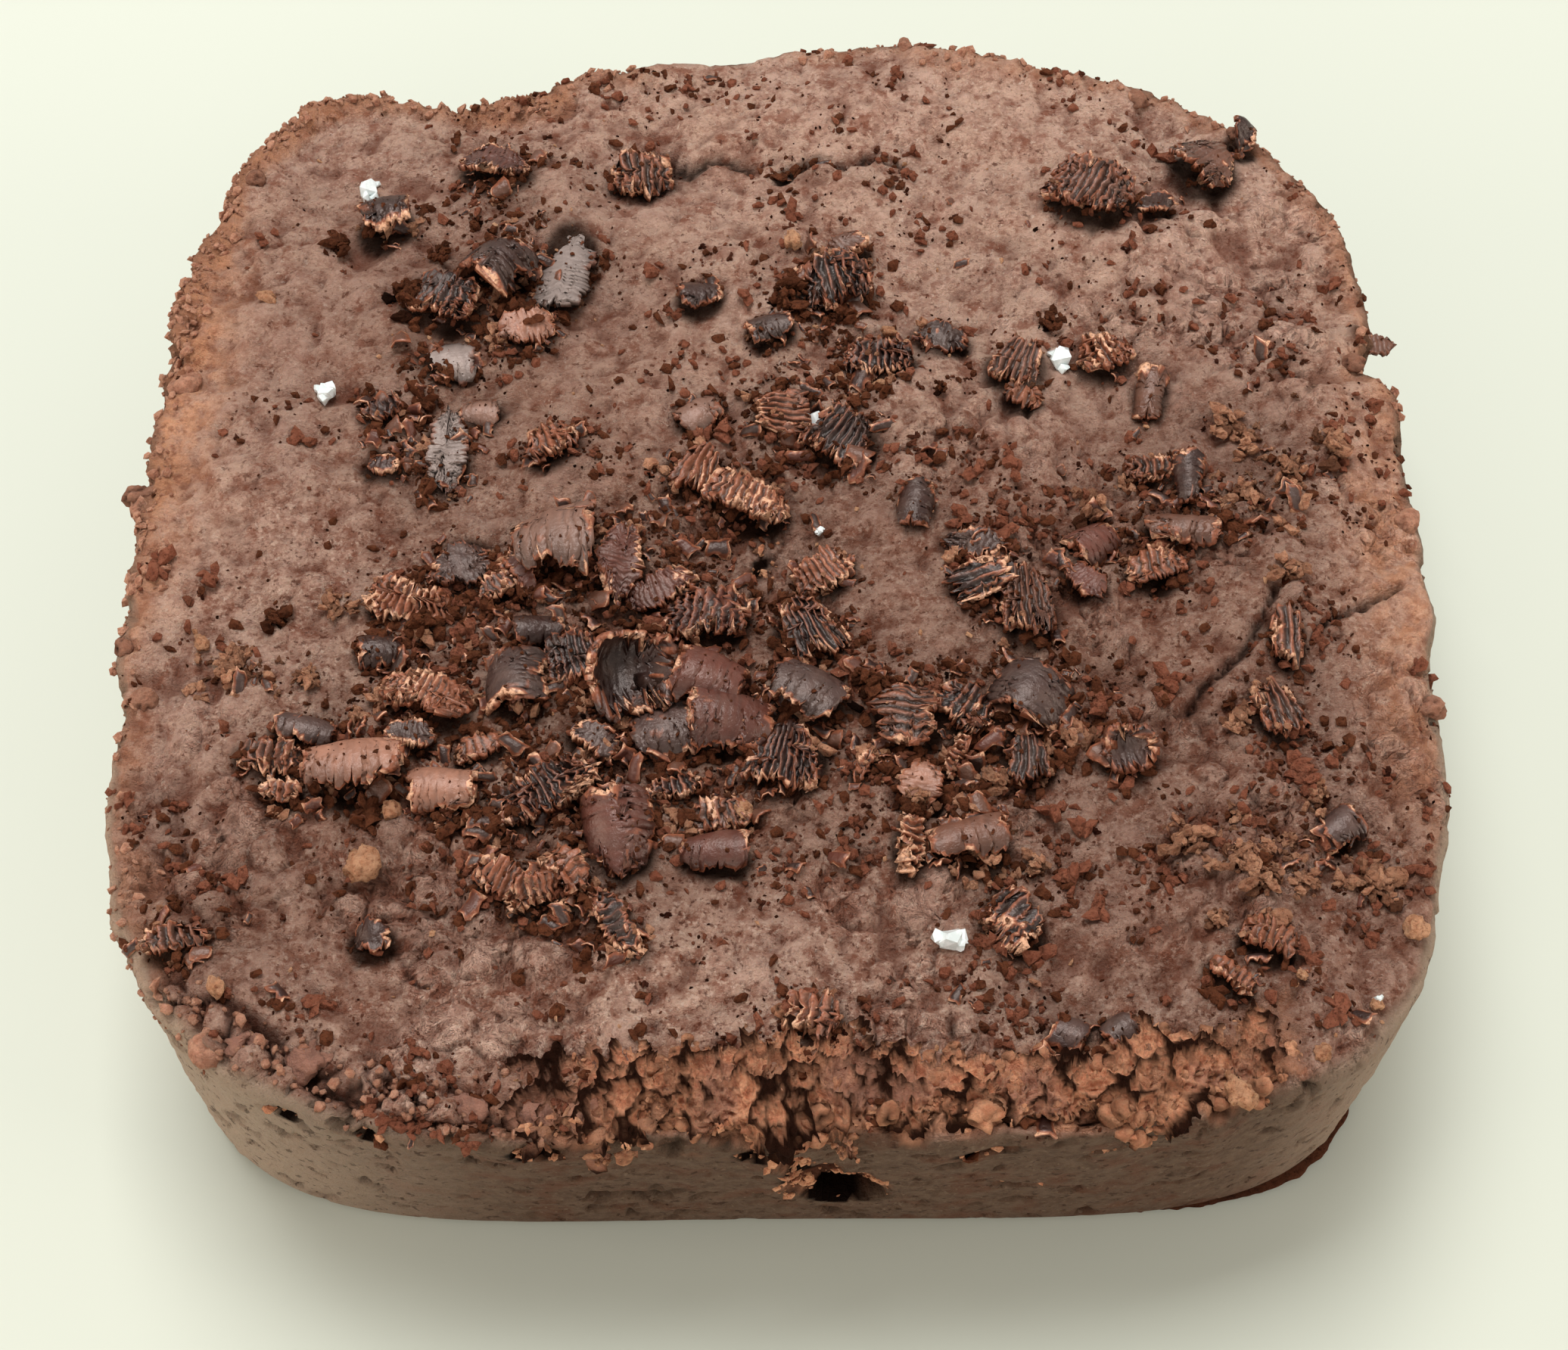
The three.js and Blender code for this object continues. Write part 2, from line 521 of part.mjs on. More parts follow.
function driftPieces() {
  const random = seededRandom(SEEDS.drifts);
  const pieces = [];
  for (const drift of DRIFTS) {
    const turn = THREE.MathUtils.degToRad(drift.turn);
    for (let index = 0; index < drift.count; index++) {
      const along = nearZero(random) * drift.alongX;
      const across = nearZero(random) * drift.alongY;
      const x = drift.x + along * Math.cos(turn) - across * Math.sin(turn);
      const y = drift.y + along * Math.sin(turn) + across * Math.cos(turn);
      const radius = drift.radius * between(random, 0.65, 1.25);
      const grain = grainGeometry(radius, random);
      if (onTop(x, y, 1)) pieces.push(layOnTop(grain, { x, y, turn: 0 }, -radius * CRUMB_SINK_SHARE));
    }
  }
  return pieces;
}

function saltPieces() {
  const random = seededRandom(SEEDS.drifts + 1);
  return SALT.map((place) => {
    const radius = SALT_RADIUS * place.size;
    const crystal = grainGeometry(radius, random, 0.9);
    return layOnTop(crystal, { ...place, turn: 0 }, -radius * CRUMB_SINK_SHARE);
  });
}

// Crumbs heaped along the broken front lip, from its top down over its round.
function lipPieces() {
  const random = seededRandom(SEEDS.lip);
  const pieces = [];
  for (let index = 0; index < LIP.count; index++) {
    const x = THREE.MathUtils.lerp(LIP.fromX, LIP.toX, (index + random()) / LIP.count);
    const depth = random();
    const edge = Math.pow(1 - Math.pow(Math.abs(x) / (WIDTH / 2), LIP_SQUARENESS), 1 / LIP_SQUARENESS);
    const y = (-DEPTH / 2) * edge + LIP_RADIUS * (0.3 + 1.5 * depth);
    const radius = GRANULE_RADIUS * between(random, 0.65, 1.2);
    const z = topHeight(x, y) + between(random, LIP.low, LIP.high) * (1 - depth) * 0.5;
    pieces.push(grainGeometry(radius, random, 0.9).translate(x, y, z));
  }
  return pieces;
}

// Stray crumbs on the lip round the sides and the back.
function edgePieces() {
  const random = seededRandom(SEEDS.edge);
  const pieces = [];
  for (let index = 0; index < EDGE_CRUMBS; index++) {
    const heading = THREE.MathUtils.degToRad(-35 + (250 * (index + random())) / EDGE_CRUMBS);
    const headingX = Math.cos(heading);
    const headingY = Math.sin(heading);
    const edge = reach(headingX, headingY, 1);
    const out = edge + outlineSwing(headingX * edge, headingY * edge) - between(random, 0.15, 0.9);
    const radius = GRANULE_RADIUS * between(random, 0.6, 0.95);
    const z = topHeight(headingX * out, headingY * out);
    pieces.push(grainGeometry(radius, random).translate(headingX * out, headingY * out, z));
  }
  return pieces;
}

// The squeezed-out skirt: a thin crescent along the base, with a ragged outer edge.
function skirtPieces() {
  const random = seededRandom(SEEDS.skirt);
  const corners = [];
  const addCorner = (step, out) => {
    const heading = THREE.MathUtils.lerp(SKIRT.from, SKIRT.to, step / SKIRT.steps);
    const corner = new THREE.Vector2(wallReach(heading, 0) + out, 0);
    corners.push(corner.rotateAround(new THREE.Vector2(), THREE.MathUtils.degToRad(heading)));
  };
  for (let step = 0; step <= SKIRT.steps; step++) {
    const share = Math.sin((Math.PI * step) / SKIRT.steps);
    addCorner(step, SKIRT.out * (share * between(random, 0.6, 1.1) - 0.3));
  }
  for (let step = SKIRT.steps; step >= 0; step -= 2) addCorner(step, -2 * SKIRT.out);
  const options = { depth: SKIRT.high, bevelEnabled: false, steps: 1 };
  return [weld(new THREE.ExtrudeGeometry(new THREE.Shape(corners), options))];
}

// Torn holes: lumps that are cut out of the wall.
function pitPieces() {
  const random = seededRandom(SEEDS.pits);
  return PITS.map((pit) => {
    const lump = weld(new THREE.IcosahedronGeometry(0.5, 0));
    moveEach(lump, (point) => point.multiplyScalar(between(random, 0.85, 1.15)));
    lump.scale(pit.deep * 2, pit.wide, pit.high);
    lump.translate(wallReach(pit.heading, pit.z), 0, pit.z);
    return lump.rotateZ(THREE.MathUtils.degToRad(pit.heading));
  });
}

// ---- joining ----

function toSolid(geometry) {
  const welded = weld(geometry);
  return new wasm.Manifold(
    new wasm.Mesh({
      numProp: 3,
      vertProperties: new Float32Array(welded.getAttribute("position").array),
      triVerts: new Uint32Array(welded.index.array),
    }),
  );
}

function toGeometry(solid) {
  const mesh = solid.getMesh();
  const geometry = new THREE.BufferGeometry();
  geometry.setAttribute("position", new THREE.BufferAttribute(mesh.vertProperties, 3));
  geometry.setIndex(new THREE.BufferAttribute(mesh.triVerts, 1));
  geometry.computeVertexNormals();
  return geometry;
}

// The largest body of a solid, with sealed hollows filled and loose scraps dropped.
function mainBody(solid) {
  let largest = null;
  for (const body of solid.decompose()) {
    if (!largest || body.volume() > largest.volume()) largest = body;
  }
  return largest;
}

function makeFudge() {
  let dough = toSolid(blockGeometry());
  for (const pit of pitPieces()) dough = dough.subtract(toSolid(pit));
  const toppings = [shavingPieces(), saltPieces(), lipPieces(), edgePieces(), skirtPieces(), driftPieces()];
  for (const piece of toppings.flat()) dough = dough.add(toSolid(piece));
  const material = new THREE.MeshStandardMaterial({ color: 0x8f6a5b, roughness: 0.75, metalness: 0 });
  const fudge = new THREE.Mesh(toGeometry(mainBody(dough)), material);
  fudge.name = "fudge";
  return fudge;
}

const whole = new THREE.Group();
whole.add(makeFudge());

export default whole;
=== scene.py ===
"""A piece of chocolate fudge, with grated chocolate, crumbs and coarse salt pressed into its top.

The script measures in millimetres and turns them into metres where a mesh is made. +Z is up, -Y is the
front, and the origin is the middle of the flat base.
"""

import itertools
import json
import logging
import math
from dataclasses import dataclass, field
from enum import Enum
from typing import Any

import bmesh
import bpy
import numpy as np
from mathutils import Matrix, Vector

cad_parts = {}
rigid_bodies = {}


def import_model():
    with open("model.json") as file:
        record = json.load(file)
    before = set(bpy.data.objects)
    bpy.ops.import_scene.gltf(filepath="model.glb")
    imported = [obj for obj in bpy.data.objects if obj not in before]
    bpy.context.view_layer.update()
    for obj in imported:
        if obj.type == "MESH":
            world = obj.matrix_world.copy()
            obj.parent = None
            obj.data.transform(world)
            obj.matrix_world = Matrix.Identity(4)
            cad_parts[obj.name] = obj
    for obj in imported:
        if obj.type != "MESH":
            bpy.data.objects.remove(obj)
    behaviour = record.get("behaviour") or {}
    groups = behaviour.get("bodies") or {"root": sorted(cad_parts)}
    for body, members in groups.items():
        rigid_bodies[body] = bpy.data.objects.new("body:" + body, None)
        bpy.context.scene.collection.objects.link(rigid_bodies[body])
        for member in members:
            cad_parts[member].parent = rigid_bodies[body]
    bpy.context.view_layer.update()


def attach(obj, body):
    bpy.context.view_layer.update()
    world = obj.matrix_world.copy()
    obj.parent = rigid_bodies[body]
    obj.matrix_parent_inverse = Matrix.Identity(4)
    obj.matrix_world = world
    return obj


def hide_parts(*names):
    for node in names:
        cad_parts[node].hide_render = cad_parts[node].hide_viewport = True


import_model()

logging.basicConfig(level=logging.INFO, format="%(message)s")
LOG = logging.getLogger("fudge")

MM = 0.001  # one millimetre in metres
BODY = "root"
NODE = "fudge"
Array = np.ndarray


# ---- numbers: streams, waves and noise ----


class Stream:
    """A repeatable stream of numbers from 0 to 1, the one that also places the solid's toppings."""

    STEP = 0x6D2B79F5
    MASK = 0xFFFFFFFF

    def __init__(self, seed: int) -> None:
        """Starts the stream at a whole number, which settles every draw."""
        self.state = seed & self.MASK

    def draw(self) -> float:
        """Draws the next number.

        Returns:
            A number from 0 to 1.
        """
        self.state = (self.state + self.STEP) & self.MASK
        mixed = ((self.state ^ (self.state >> 15)) * (1 | self.state)) & self.MASK
        stirred = ((mixed ^ (mixed >> 7)) * (61 | mixed)) & self.MASK
        mixed = ((mixed + stirred) & self.MASK) ^ mixed
        return (mixed ^ (mixed >> 14)) / (self.MASK + 1)

    def between(self, low: float, high: float) -> float:
        """The next number, from low to high."""
        return low + (high - low) * self.draw()

    def near_zero(self) -> float:
        """A number near zero whose spread is about one."""
        return (self.draw() + self.draw() + self.draw() - 1.5) * 2

    def skip(self, count: int) -> None:
        """Passes over some draws."""
        for _ in range(count):
            self.draw()


@dataclass(frozen=True)
class Waves:
    """A soft, uneven field: waves of about one length with seeded headings."""

    seed: int
    count: int
    length: float
    height: float

    def at(self, x: Array, y: Array) -> Array:
        """The field's height.

        Args:
            x: Places to the right, in millimetres.
            y: Places to the back, in millimetres.

        Returns:
            The height at each place, in millimetres.
        """
        stream = Stream(self.seed)
        total = np.zeros_like(np.asarray(x, float))
        for _ in range(self.count):
            heading = stream.draw() * math.tau
            turns = math.tau / (self.length * stream.between(0.7, 1.5))
            phase = stream.draw() * math.tau
            total = total + np.sin(math.cos(heading) * turns * x + math.sin(heading) * turns * y + phase)
        return total * self.height / math.sqrt(self.count / 2)


def smooth_step(value: Array, low: float, high: float) -> Array:
    """A share for each value, which rises softly from 0 at low to 1 at high."""
    share = np.clip((np.asarray(value, float) - low) / (high - low), 0, 1)
    return share * share * (3 - 2 * share)


MIX_X, MIX_Y, MIX_Z, MIX_SEED = 73856093, 19349663, 83492791, 40503
FIRST_STIR, SECOND_STIR = 1274126177, 2246822519


def hashed(key: Array, seed: int) -> Array:
    """Seeded numbers that look like chance.

    Args:
        key: Rows of three whole numbers.
        seed: Which numbers.

    Returns:
        A number from 0 to 1 for each row.
    """
    mixed = key[:, 0] * MIX_X ^ key[:, 1] * MIX_Y ^ key[:, 2] * MIX_Z ^ seed * MIX_SEED
    mixed = ((mixed ^ (mixed >> 13)) * FIRST_STIR) & 0x7FFFFFFF
    mixed = ((mixed ^ (mixed >> 15)) * SECOND_STIR) & 0x7FFFFFFF
    return ((mixed ^ (mixed >> 12)) & 0xFFFF) / 65535


def lattice_noise(points: Array, size: Any, seed: int) -> Array:
    """Smooth seeded noise.

    Args:
        points: Places, one row each, in millimetres.
        size: Millimetres from one lump to the next, one number or one for each direction.
        seed: Which noise.

    Returns:
        A number from -1 to 1 for each place.
    """
    cell = points / np.asarray(size, float)
    corner = np.floor(cell).astype(np.int64)
    share = cell - corner
    share = share * share * (3 - 2 * share)
    total = np.zeros(len(points))
    for step in itertools.product((0, 1), repeat=3):
        total += hashed(corner + np.array(step), seed) * np.prod(np.where(step, share, 1 - share), axis=1)
    return total * 2 - 1


def cell_noise(points: Array, size: float, seed: int) -> tuple[Array, Array]:
    """Noise of round grains packed together.

    Args:
        points: Places, one row each, in millimetres.
        size: Millimetres from one grain to the next.
        seed: Which noise.

    Returns:
        How far inside its grain each place is, from 0 in a gap to 1, and one number from 0 to 1 a grain.
    """
    cell = points / size
    corner = np.floor(cell).astype(np.int64)
    nearest, second = np.full(len(points), np.inf), np.full(len(points), np.inf)
    grain = np.zeros(len(points))
    for step in itertools.product((-1, 0, 1), repeat=3):
        key = corner + np.array(step)
        spot = key + 0.1 + 0.8 * np.stack([hashed(key, seed + part) for part in range(3)], axis=1)
        apart = np.linalg.norm(cell - spot, axis=1)
        closer = apart < nearest
        second = np.where(closer, nearest, np.minimum(second, apart))
        grain = np.where(closer, hashed(key, seed + 3), grain)
        nearest = np.where(closer, apart, nearest)
    dome = np.sqrt(np.clip(1 - (nearest / 0.85) ** 2, 0, 1))
    return dome * smooth_step(second - nearest, -0.08, 0.25), grain


def fractal_noise(points: Array, size: float, seed: int, octaves: int = 3, fall: float = 0.5) -> Array:
    """Noise with finer and finer noise on it.

    Args:
        points: Places, one row each, in millimetres.
        size: Millimetres from lump to lump of the coarsest noise.
        seed: Which noise.
        octaves: How many noises are added up.
        fall: How much of its height each keeps of the one before.

    Returns:
        A number of about -1 to 1 for each place.
    """
    total = np.zeros(len(points))
    height, whole = 1.0, 0.0
    for octave in range(octaves):
        total += height * lattice_noise(points, size / 2**octave, seed + 17 * octave)
        whole += height
        height *= fall
    return total / whole


# ---- meshes ----


@dataclass
class Shape:
    """Points in millimetres, faces of one number of corners, and marks: one value or colour a point."""

    points: Array
    faces: list[Array]
    marks: dict[str, Array] = field(default_factory=dict)

    def placed(self, matrix: Matrix) -> "Shape":
        """The same shape, turned and moved by a matrix in millimetres."""
        points = self.points @ np.array(matrix.to_3x3()).T + np.array(matrix.translation)
        return Shape(points, self.faces, self.marks)

    def normals(self) -> Array:
        """The directions that the surface faces.

        Returns:
            One direction, of length one, for each point.
        """
        total = np.zeros_like(self.points)
        for faces in self.faces:
            first, second = self.points[faces[:, 0]], self.points[faces[:, 2]]
            other, last = self.points[faces[:, 1]], self.points[faces[:, -1]]
            across = np.cross(second - first, last - other) if faces.shape[1] == 4 else (
                np.cross(other - first, second - first)
            )
            for corner in range(faces.shape[1]):
                np.add.at(total, faces[:, corner], across)
        return total / np.maximum(np.linalg.norm(total, axis=1), 1e-12)[:, None]


def joined(shapes: list[Shape]) -> Shape:
    """Several shapes as one.

    Args:
        shapes: The shapes, which all carry the same marks.

    Returns:
        One shape with the points and faces of all.
    """
    faces: dict[int, list[Array]] = {}
    start = 0
    for shape in shapes:
        for group in shape.faces:
            faces.setdefault(group.shape[1], []).append(group + start)
        start += len(shape.points)
    marks = {name: np.concatenate([s.marks[name] for s in shapes]) for name in shapes[0].marks}
    points = np.concatenate([s.points for s in shapes])
    return Shape(points, [np.concatenate(group) for group in faces.values()], marks)


def grid_faces(number: Array, round_shut: bool = False) -> Array:
    """The four-cornered faces of a grid.

    Args:
        number: The numbers of its points, in rows and columns.
        round_shut: Whether its last column is joined to its first.

    Returns:
        One face a row.
    """
    if round_shut:
        number = np.concatenate([number, number[:, :1]], axis=1)
    corners = (number[:-1, :-1], number[1:, :-1], number[1:, 1:], number[:-1, 1:])
    return np.stack([corner.ravel() for corner in corners], axis=1)


def grid(columns: int, rows: int) -> list[Array]:
    """The places from -1 to 1 of a grid's points, along its columns and across them."""
    return np.meshgrid(np.linspace(-1, 1, columns + 1), np.linspace(-1, 1, rows + 1), indexing="ij")


def sheet_faces(rows: int, columns: int) -> Array:
    """The faces of a closed thin sheet.

    Args:
        rows: How many rows of points each side has.
        columns: How many points are in a row.

    Returns:
        The faces of its upper grid, of the lower one, numbered after it, and of the rim between them.
    """
    number = np.arange(rows * columns).reshape(rows, columns)
    upper = grid_faces(number)
    loop = np.concatenate([number[:-1, 0], number[-1, :-1], number[:0:-1, -1], number[0, :0:-1]])
    rim = np.stack([loop, loop + number.size, np.roll(loop, -1) + number.size, np.roll(loop, -1)], axis=1)
    return np.concatenate([upper, upper[:, ::-1] + number.size, rim])


def new_object(
    name: str, shape: Shape, finish: bpy.types.Material | None, smooth: bool = True
) -> bpy.types.Object:
    """Makes a mesh object, in metres.

    Args:
        name: The object's name.
        shape: Its points and faces, in millimetres.
        finish: Its material.
        smooth: Whether its faces are shaded as one soft surface.

    Returns:
        The object, at the origin.
    """
    mesh = bpy.data.meshes.new(name)
    faces = [row for group in shape.faces for row in group.tolist()]
    mesh.from_pydata((shape.points * MM).tolist(), [], faces)
    for mark, values in shape.marks.items():
        kind, part = ("FLOAT_COLOR", "color") if values.ndim == 2 else ("FLOAT", "value")
        mesh.attributes.new(mark, kind, "POINT").data.foreach_set(part, values.astype(np.float32).ravel())
    mesh.polygons.foreach_set("use_smooth", [smooth] * len(mesh.polygons))
    if finish:
        mesh.materials.append(finish)
    mesh.update()
    piece = bpy.data.objects.new(name, mesh)
    bpy.context.scene.collection.objects.link(piece)
    return piece


def settle(piece: bpy.types.Object) -> None:
    """Makes a piece part of the fudge.

    Args:
        piece: The finished piece.
    """
    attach(piece, BODY)
    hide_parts(NODE)
    triangles = sum(len(polygon.vertices) - 2 for polygon in piece.data.polygons)
    LOG.info("%s: %d triangles", piece.name, triangles)


# ---- finishes ----


def linear(colour: str) -> tuple[float, float, float, float]:
    """Turns an sRGB hex colour to linear.

    Args:
        colour: The colour, as #rrggbb.

    Returns:
        Red, green, blue and an alpha of 1.
    """
    parts = [int(colour[start : start + 2], 16) / 255 for start in (1, 3, 5)]
    red, green, blue = (p / 12.92 if p <= 0.04045 else ((p + 0.055) / 1.055) ** 2.4 for p in parts)
    return red, green, blue, 1.0


def add_node(
    tree: bpy.types.NodeTree, kind: str, inputs: dict | None = None, **settings: Any
) -> bpy.types.Node:
    """Adds a node with its settings and links.

    Args:
        tree: Where the node goes.
        kind: Blender's name for the kind of node.
        inputs: What each input, by name or number, is set to or linked to.
        settings: The node's own options.

    Returns:
        The node.
    """
    node = tree.nodes.new(kind)
    for name, value in settings.items():
        setattr(node, name, value)
    for name, value in (inputs or {}).items():
        if isinstance(value, bpy.types.NodeSocket):
            tree.links.new(value, node.inputs[name])
        else:
            node.inputs[name].default_value = value
    return node


@dataclass(frozen=True)
class Layer:
    """A colour laid over those below it, where noise, a mark of the mesh or both are strong.

    size is the noise's, in millimetres from lump to lump, or 0 where only the mark counts. low and high are
    where the noise starts to show and where it is full, and most is the layer's strength there.
    """

    colour: str
    size: float = 0.0
    low: float = 0.4
    high: float = 0.6
    most: float = 1.0
    mark: str = ""
    detail: float = 4.0
    rough: float = 0.62
    least: float = 0.0  # the mark's value where the layer starts to show
    cracks: bool = False  # thin lines between cells of the size, in place of noise

    def share(self, tree: bpy.types.NodeTree) -> bpy.types.NodeSocket:
        """Adds the nodes that give the layer's strength at each place.

        Args:
            tree: The material's nodes.

        Returns:
            The socket with the strength.
        """
        share: Any = self.most
        if self.size:
            place = add_node(tree, "ShaderNodeTexCoord").outputs["Object"]
            scale = 1 / (self.size * MM)
            grain = {"Vector": place, "Scale": scale, "Detail": self.detail, "Roughness": self.rough}
            noise = add_node(tree, "ShaderNodeTexNoise", grain)
            pattern = noise.outputs["Fac"]
            if self.cracks:
                wander = {0: noise.outputs["Color"], "Scale": 0.7 * self.size * MM}
                away = add_node(tree, "ShaderNodeVectorMath", wander, operation="SCALE").outputs[0]
                moved = add_node(tree, "ShaderNodeVectorMath", {0: place, 1: away}, operation="ADD")
                cells = {"Vector": moved.outputs[0], "Scale": scale}
                pattern = add_node(tree, "ShaderNodeTexVoronoi", cells, feature="DISTANCE_TO_EDGE").outputs[0]
            ramp = {"Value": pattern, 1: self.low, 2: self.high, 4: self.most}
            share = add_node(tree, "ShaderNodeMapRange", ramp).outputs[0]
        if self.mark:
            mark = add_node(tree, "ShaderNodeAttribute", attribute_name=self.mark).outputs["Fac"]
            mark = add_node(tree, "ShaderNodeMapRange", {"Value": mark, 1: self.least}).outputs[0]
            share = add_node(tree, "ShaderNodeMath", {0: mark, 1: share}, operation="MULTIPLY").outputs[0]
        return share


@dataclass(frozen=True)
class Finish:
    """A material: a base colour, or the name of a colour mark, the layers over it, and its relief."""

    name: str
    base: str
    layers: tuple[Layer, ...] = ()
    roughness: float = 0.7
    ior: float = 1.46
    relief: tuple[tuple[Layer, float], ...] = ()  # patterns and the millimetres that each stands out
    shader: tuple[tuple[str, Any], ...] = ()  # what else the shader is set to

    def build(self) -> bpy.types.Material:
        """Makes the material.

        Returns:
            The material, with its layers and relief as nodes.
        """
        material = bpy.data.materials.new(self.name)
        material.use_nodes = True
        tree = material.node_tree
        tree.nodes.clear()
        if self.base.startswith("#"):
            colour: Any = linear(self.base)
        else:
            colour = add_node(tree, "ShaderNodeAttribute", attribute_name=self.base).outputs["Color"]
        for layer in self.layers:
            mix = {0: layer.share(tree), 6: colour, 7: linear(layer.colour)}
            colour = add_node(tree, "ShaderNodeMix", mix, data_type="RGBA").outputs[2]
        inputs = {"Base Color": colour, "Roughness": self.roughness, "IOR": self.ior, **dict(self.shader)}
        for layer, depth in self.relief:
            bump = {"Height": layer.share(tree), "Distance": depth * MM}
            if "Normal" in inputs:
                bump["Normal"] = inputs["Normal"]
            inputs["Normal"] = add_node(tree, "ShaderNodeBump", bump).outputs[0]
        shader = add_node(tree, "ShaderNodeBsdfPrincipled", inputs)
        add_node(tree, "ShaderNodeOutputMaterial", {"Surface": shader.outputs[0]})
        return material


# Fat and crumb let light in a little way, and throw back hardly any, which keeps their hollows dark.
SOFT = (
    ("Subsurface Weight", 0.1), ("Subsurface Radius", (1.0, 0.45, 0.25)), ("Subsurface Scale", 0.4 * MM),
    ("Specular IOR Level", 0.07), ("Specular Tint", (1.0, 0.7, 0.55, 1.0)),
)

# Sugar, butter and cocoa, beaten and pressed into a mould: matte and fatty, with a fine sugar grain that is
# drawn a little coarser than real so that it shows. The wall that the mould touched is greyer and pored,
# and where the fudge is broken it dries to a warm crumb.
# Several layers below are painted shade, painted shadow, painted highlight or painted light, as each says.
MOULDED_FUDGE = Finish("moulded_fudge", "#e4bca6", (
    Layer("#dcb4a2", 4.5, 0.42, 0.62, 0.5, detail=3),
    Layer("#a87461", 0.8, 0.44, 0.58, 0.6),
    Layer("#ecc5ae", 0.17, 0.47, 0.62, 0.55),
    Layer("#8a5643", 0.19, 0.54, 0.66, 0.55),
    Layer("#8f4c34", 0.74, 0.54, 0.64, 0.65),
    Layer("#5b2a1b", 0.31, 0.6, 0.67, 0.75),
    Layer("#f6d8c4", 0.22, 0.61, 0.69, 0.8),
    Layer("#8c523d", 0.5, 0.52, 0.62, 0.6, "bold"),
    Layer("#ffdcc6", 0.24, 0.55, 0.65, 0.75, "bold"),
    Layer("#481c10", 0.2, 0.58, 0.66, 0.8, "bold"),
    # Painted shade in the low places of the fine relief and between the lip's crumbs.
    Layer("#7a4433", mark="hollow_shade", most=0.7),
    # Painted highlight on the raised knobs of the fine relief.
    Layer("#ecc4b0", mark="knob_highlight", most=0.5),
    # Dark lines along the cracks: painted shade in the creases of the cracked relief.
    Layer("#5a2818", 1.1, 0.16, 0.0, 0.42, "cracked", 1.0, cracks=True),
    # Painted shade over broad patches of the top.
    Layer("#6b4232", mark="shaded", most=0.5),
    # The dry crumb's warm colour on the rim, with painted rim light in bands along the left and right edges.
    Layer("#e6a785", mark="dry_crumb_and_rim_light", most=0.6),
    Layer("#fbb68a", 0.7, 0.42, 0.58, 0.8, "dry_crumb_and_rim_light"),
    Layer("#8c4c33", 0.4, 0.5, 0.62, 0.7, "dry_crumb_and_rim_light"),
    # Near black: dark dust where the litter lies thick, and painted shade and painted shadow round and under
    # the shavings.
    Layer("#180a05", mark="dust_and_shadow", most=0.94),
    Layer("#7c6453", mark="wall"),
    Layer("#4a352a", 0.5, 0.42, 0.6, 0.45, "wall", 5, 0.75),
    Layer("#734735", 1.6, 0.5, 0.64, 0.5, "wall"),
    # Painted light on the wall's left and right ends.
    Layer("#ceb49d", mark="pale", most=0.88),
    Layer("#98806c", 0.19, 0.6, 0.68, 0.6, "wall"),
    Layer("#2e170f", 0.36, 0.58, 0.65, 0.6, "wall"),
    Layer("#6b3a28", mark="broken"),
    # Painted highlight on the high places of the broken crumb.
    Layer("#cf9575", mark="tip"),
    # Near black: painted shade in the grooves, inside the deep holes, in the wall's pores and between the
    # lip's crumbs.
    Layer("#0e0402", mark="gap"),
), 0.66, 1.46, (
    (Layer("", 0.6, 0.3, 0.7, detail=6, rough=0.75), 0.34),
    (Layer("", 1.1, 0.0, 0.45, 1.0, "cracked", 1.0, cracks=True), 0.24),
), SOFT)

# Dark chocolate cut by a grater's teeth: smooth and greyish where the blade ran, pale where it tore.
GRATED_CHOCOLATE = Finish("grated_chocolate", "tint", (
    Layer("#8d7467", 0.7, 0.45, 0.8, 0.2, detail=3),
    Layer("#b08570", 0.12, 0.7, 0.77, 0.4),
    Layer("#96583e", mark="torn", least=0.2, most=2.0),
    Layer("#dda987", mark="torn", least=0.66, most=2.0),
    Layer("#40190e", 0.14, 0.47, 0.6, 0.8, "torn"),
), 0.36, 1.46, ((Layer("", 0.2, 0.3, 0.7), 0.02),), (
    ("Specular IOR Level", 0.65), ("Specular Tint", (1.0, 0.86, 0.8, 1.0)),
))


def crumb(name: str, deep: str, pale: str, rust: str, blotched: float = 0.6) -> Finish:
    """Broken dough or chocolate: dry and matte, from its deep colour to its pale one by the mark shade, which
    holds painted shade in the hollows and a painted highlight at the tips where a shape sets it, and a tone
    by chance on strewn grains.

    Args:
        name: What it is a crumb of.
        deep: The colour at shade 0: painted shade in the hollows, and the darkest tone.
        pale: The colour at shade 1: a painted highlight at the tips, and the palest tone.
        rust: The colour of its redder patches.
        blotched: How strong its fine dark blotches are.

    Returns:
        The finish, which reads the mark shade.
    """
    return Finish(name, deep, (
        Layer(pale, mark="shade"),
        Layer(rust, 0.33, 0.45, 0.6, 0.5, "shade"),
        Layer(deep, 0.14, 0.52, 0.66, blotched),
        Layer("#b58574", mark="rosy", most=0.8),
    ), 0.78, 1.46, ((Layer("", 0.16, 0.3, 0.7, detail=5, rough=0.7), 0.14),), SOFT)


CHOCOLATE_CRUMB = crumb("chocolate_crumb", "#120604", "#75452f", "#48251a")
RUSTY_CRUMB = crumb("rusty_crumb", "#2e130c", "#a2654e", "#733c2b")
TORN_CRUMB = crumb("torn_crumb", "#3c1a0d", "#d99f7e", "#8f523a")
GOLDEN_CRUMB = crumb("golden_crumb", "#1a0704", "#ffb78e", "#b85e3f", 0.2)
RIM_CRUMB = crumb("rim_crumb", "#381710", "#dda488", "#96573f", 0.3)
TAN_CRUMB = crumb("tan_crumb", "#7d4128", "#e6b08a", "#b8744e")

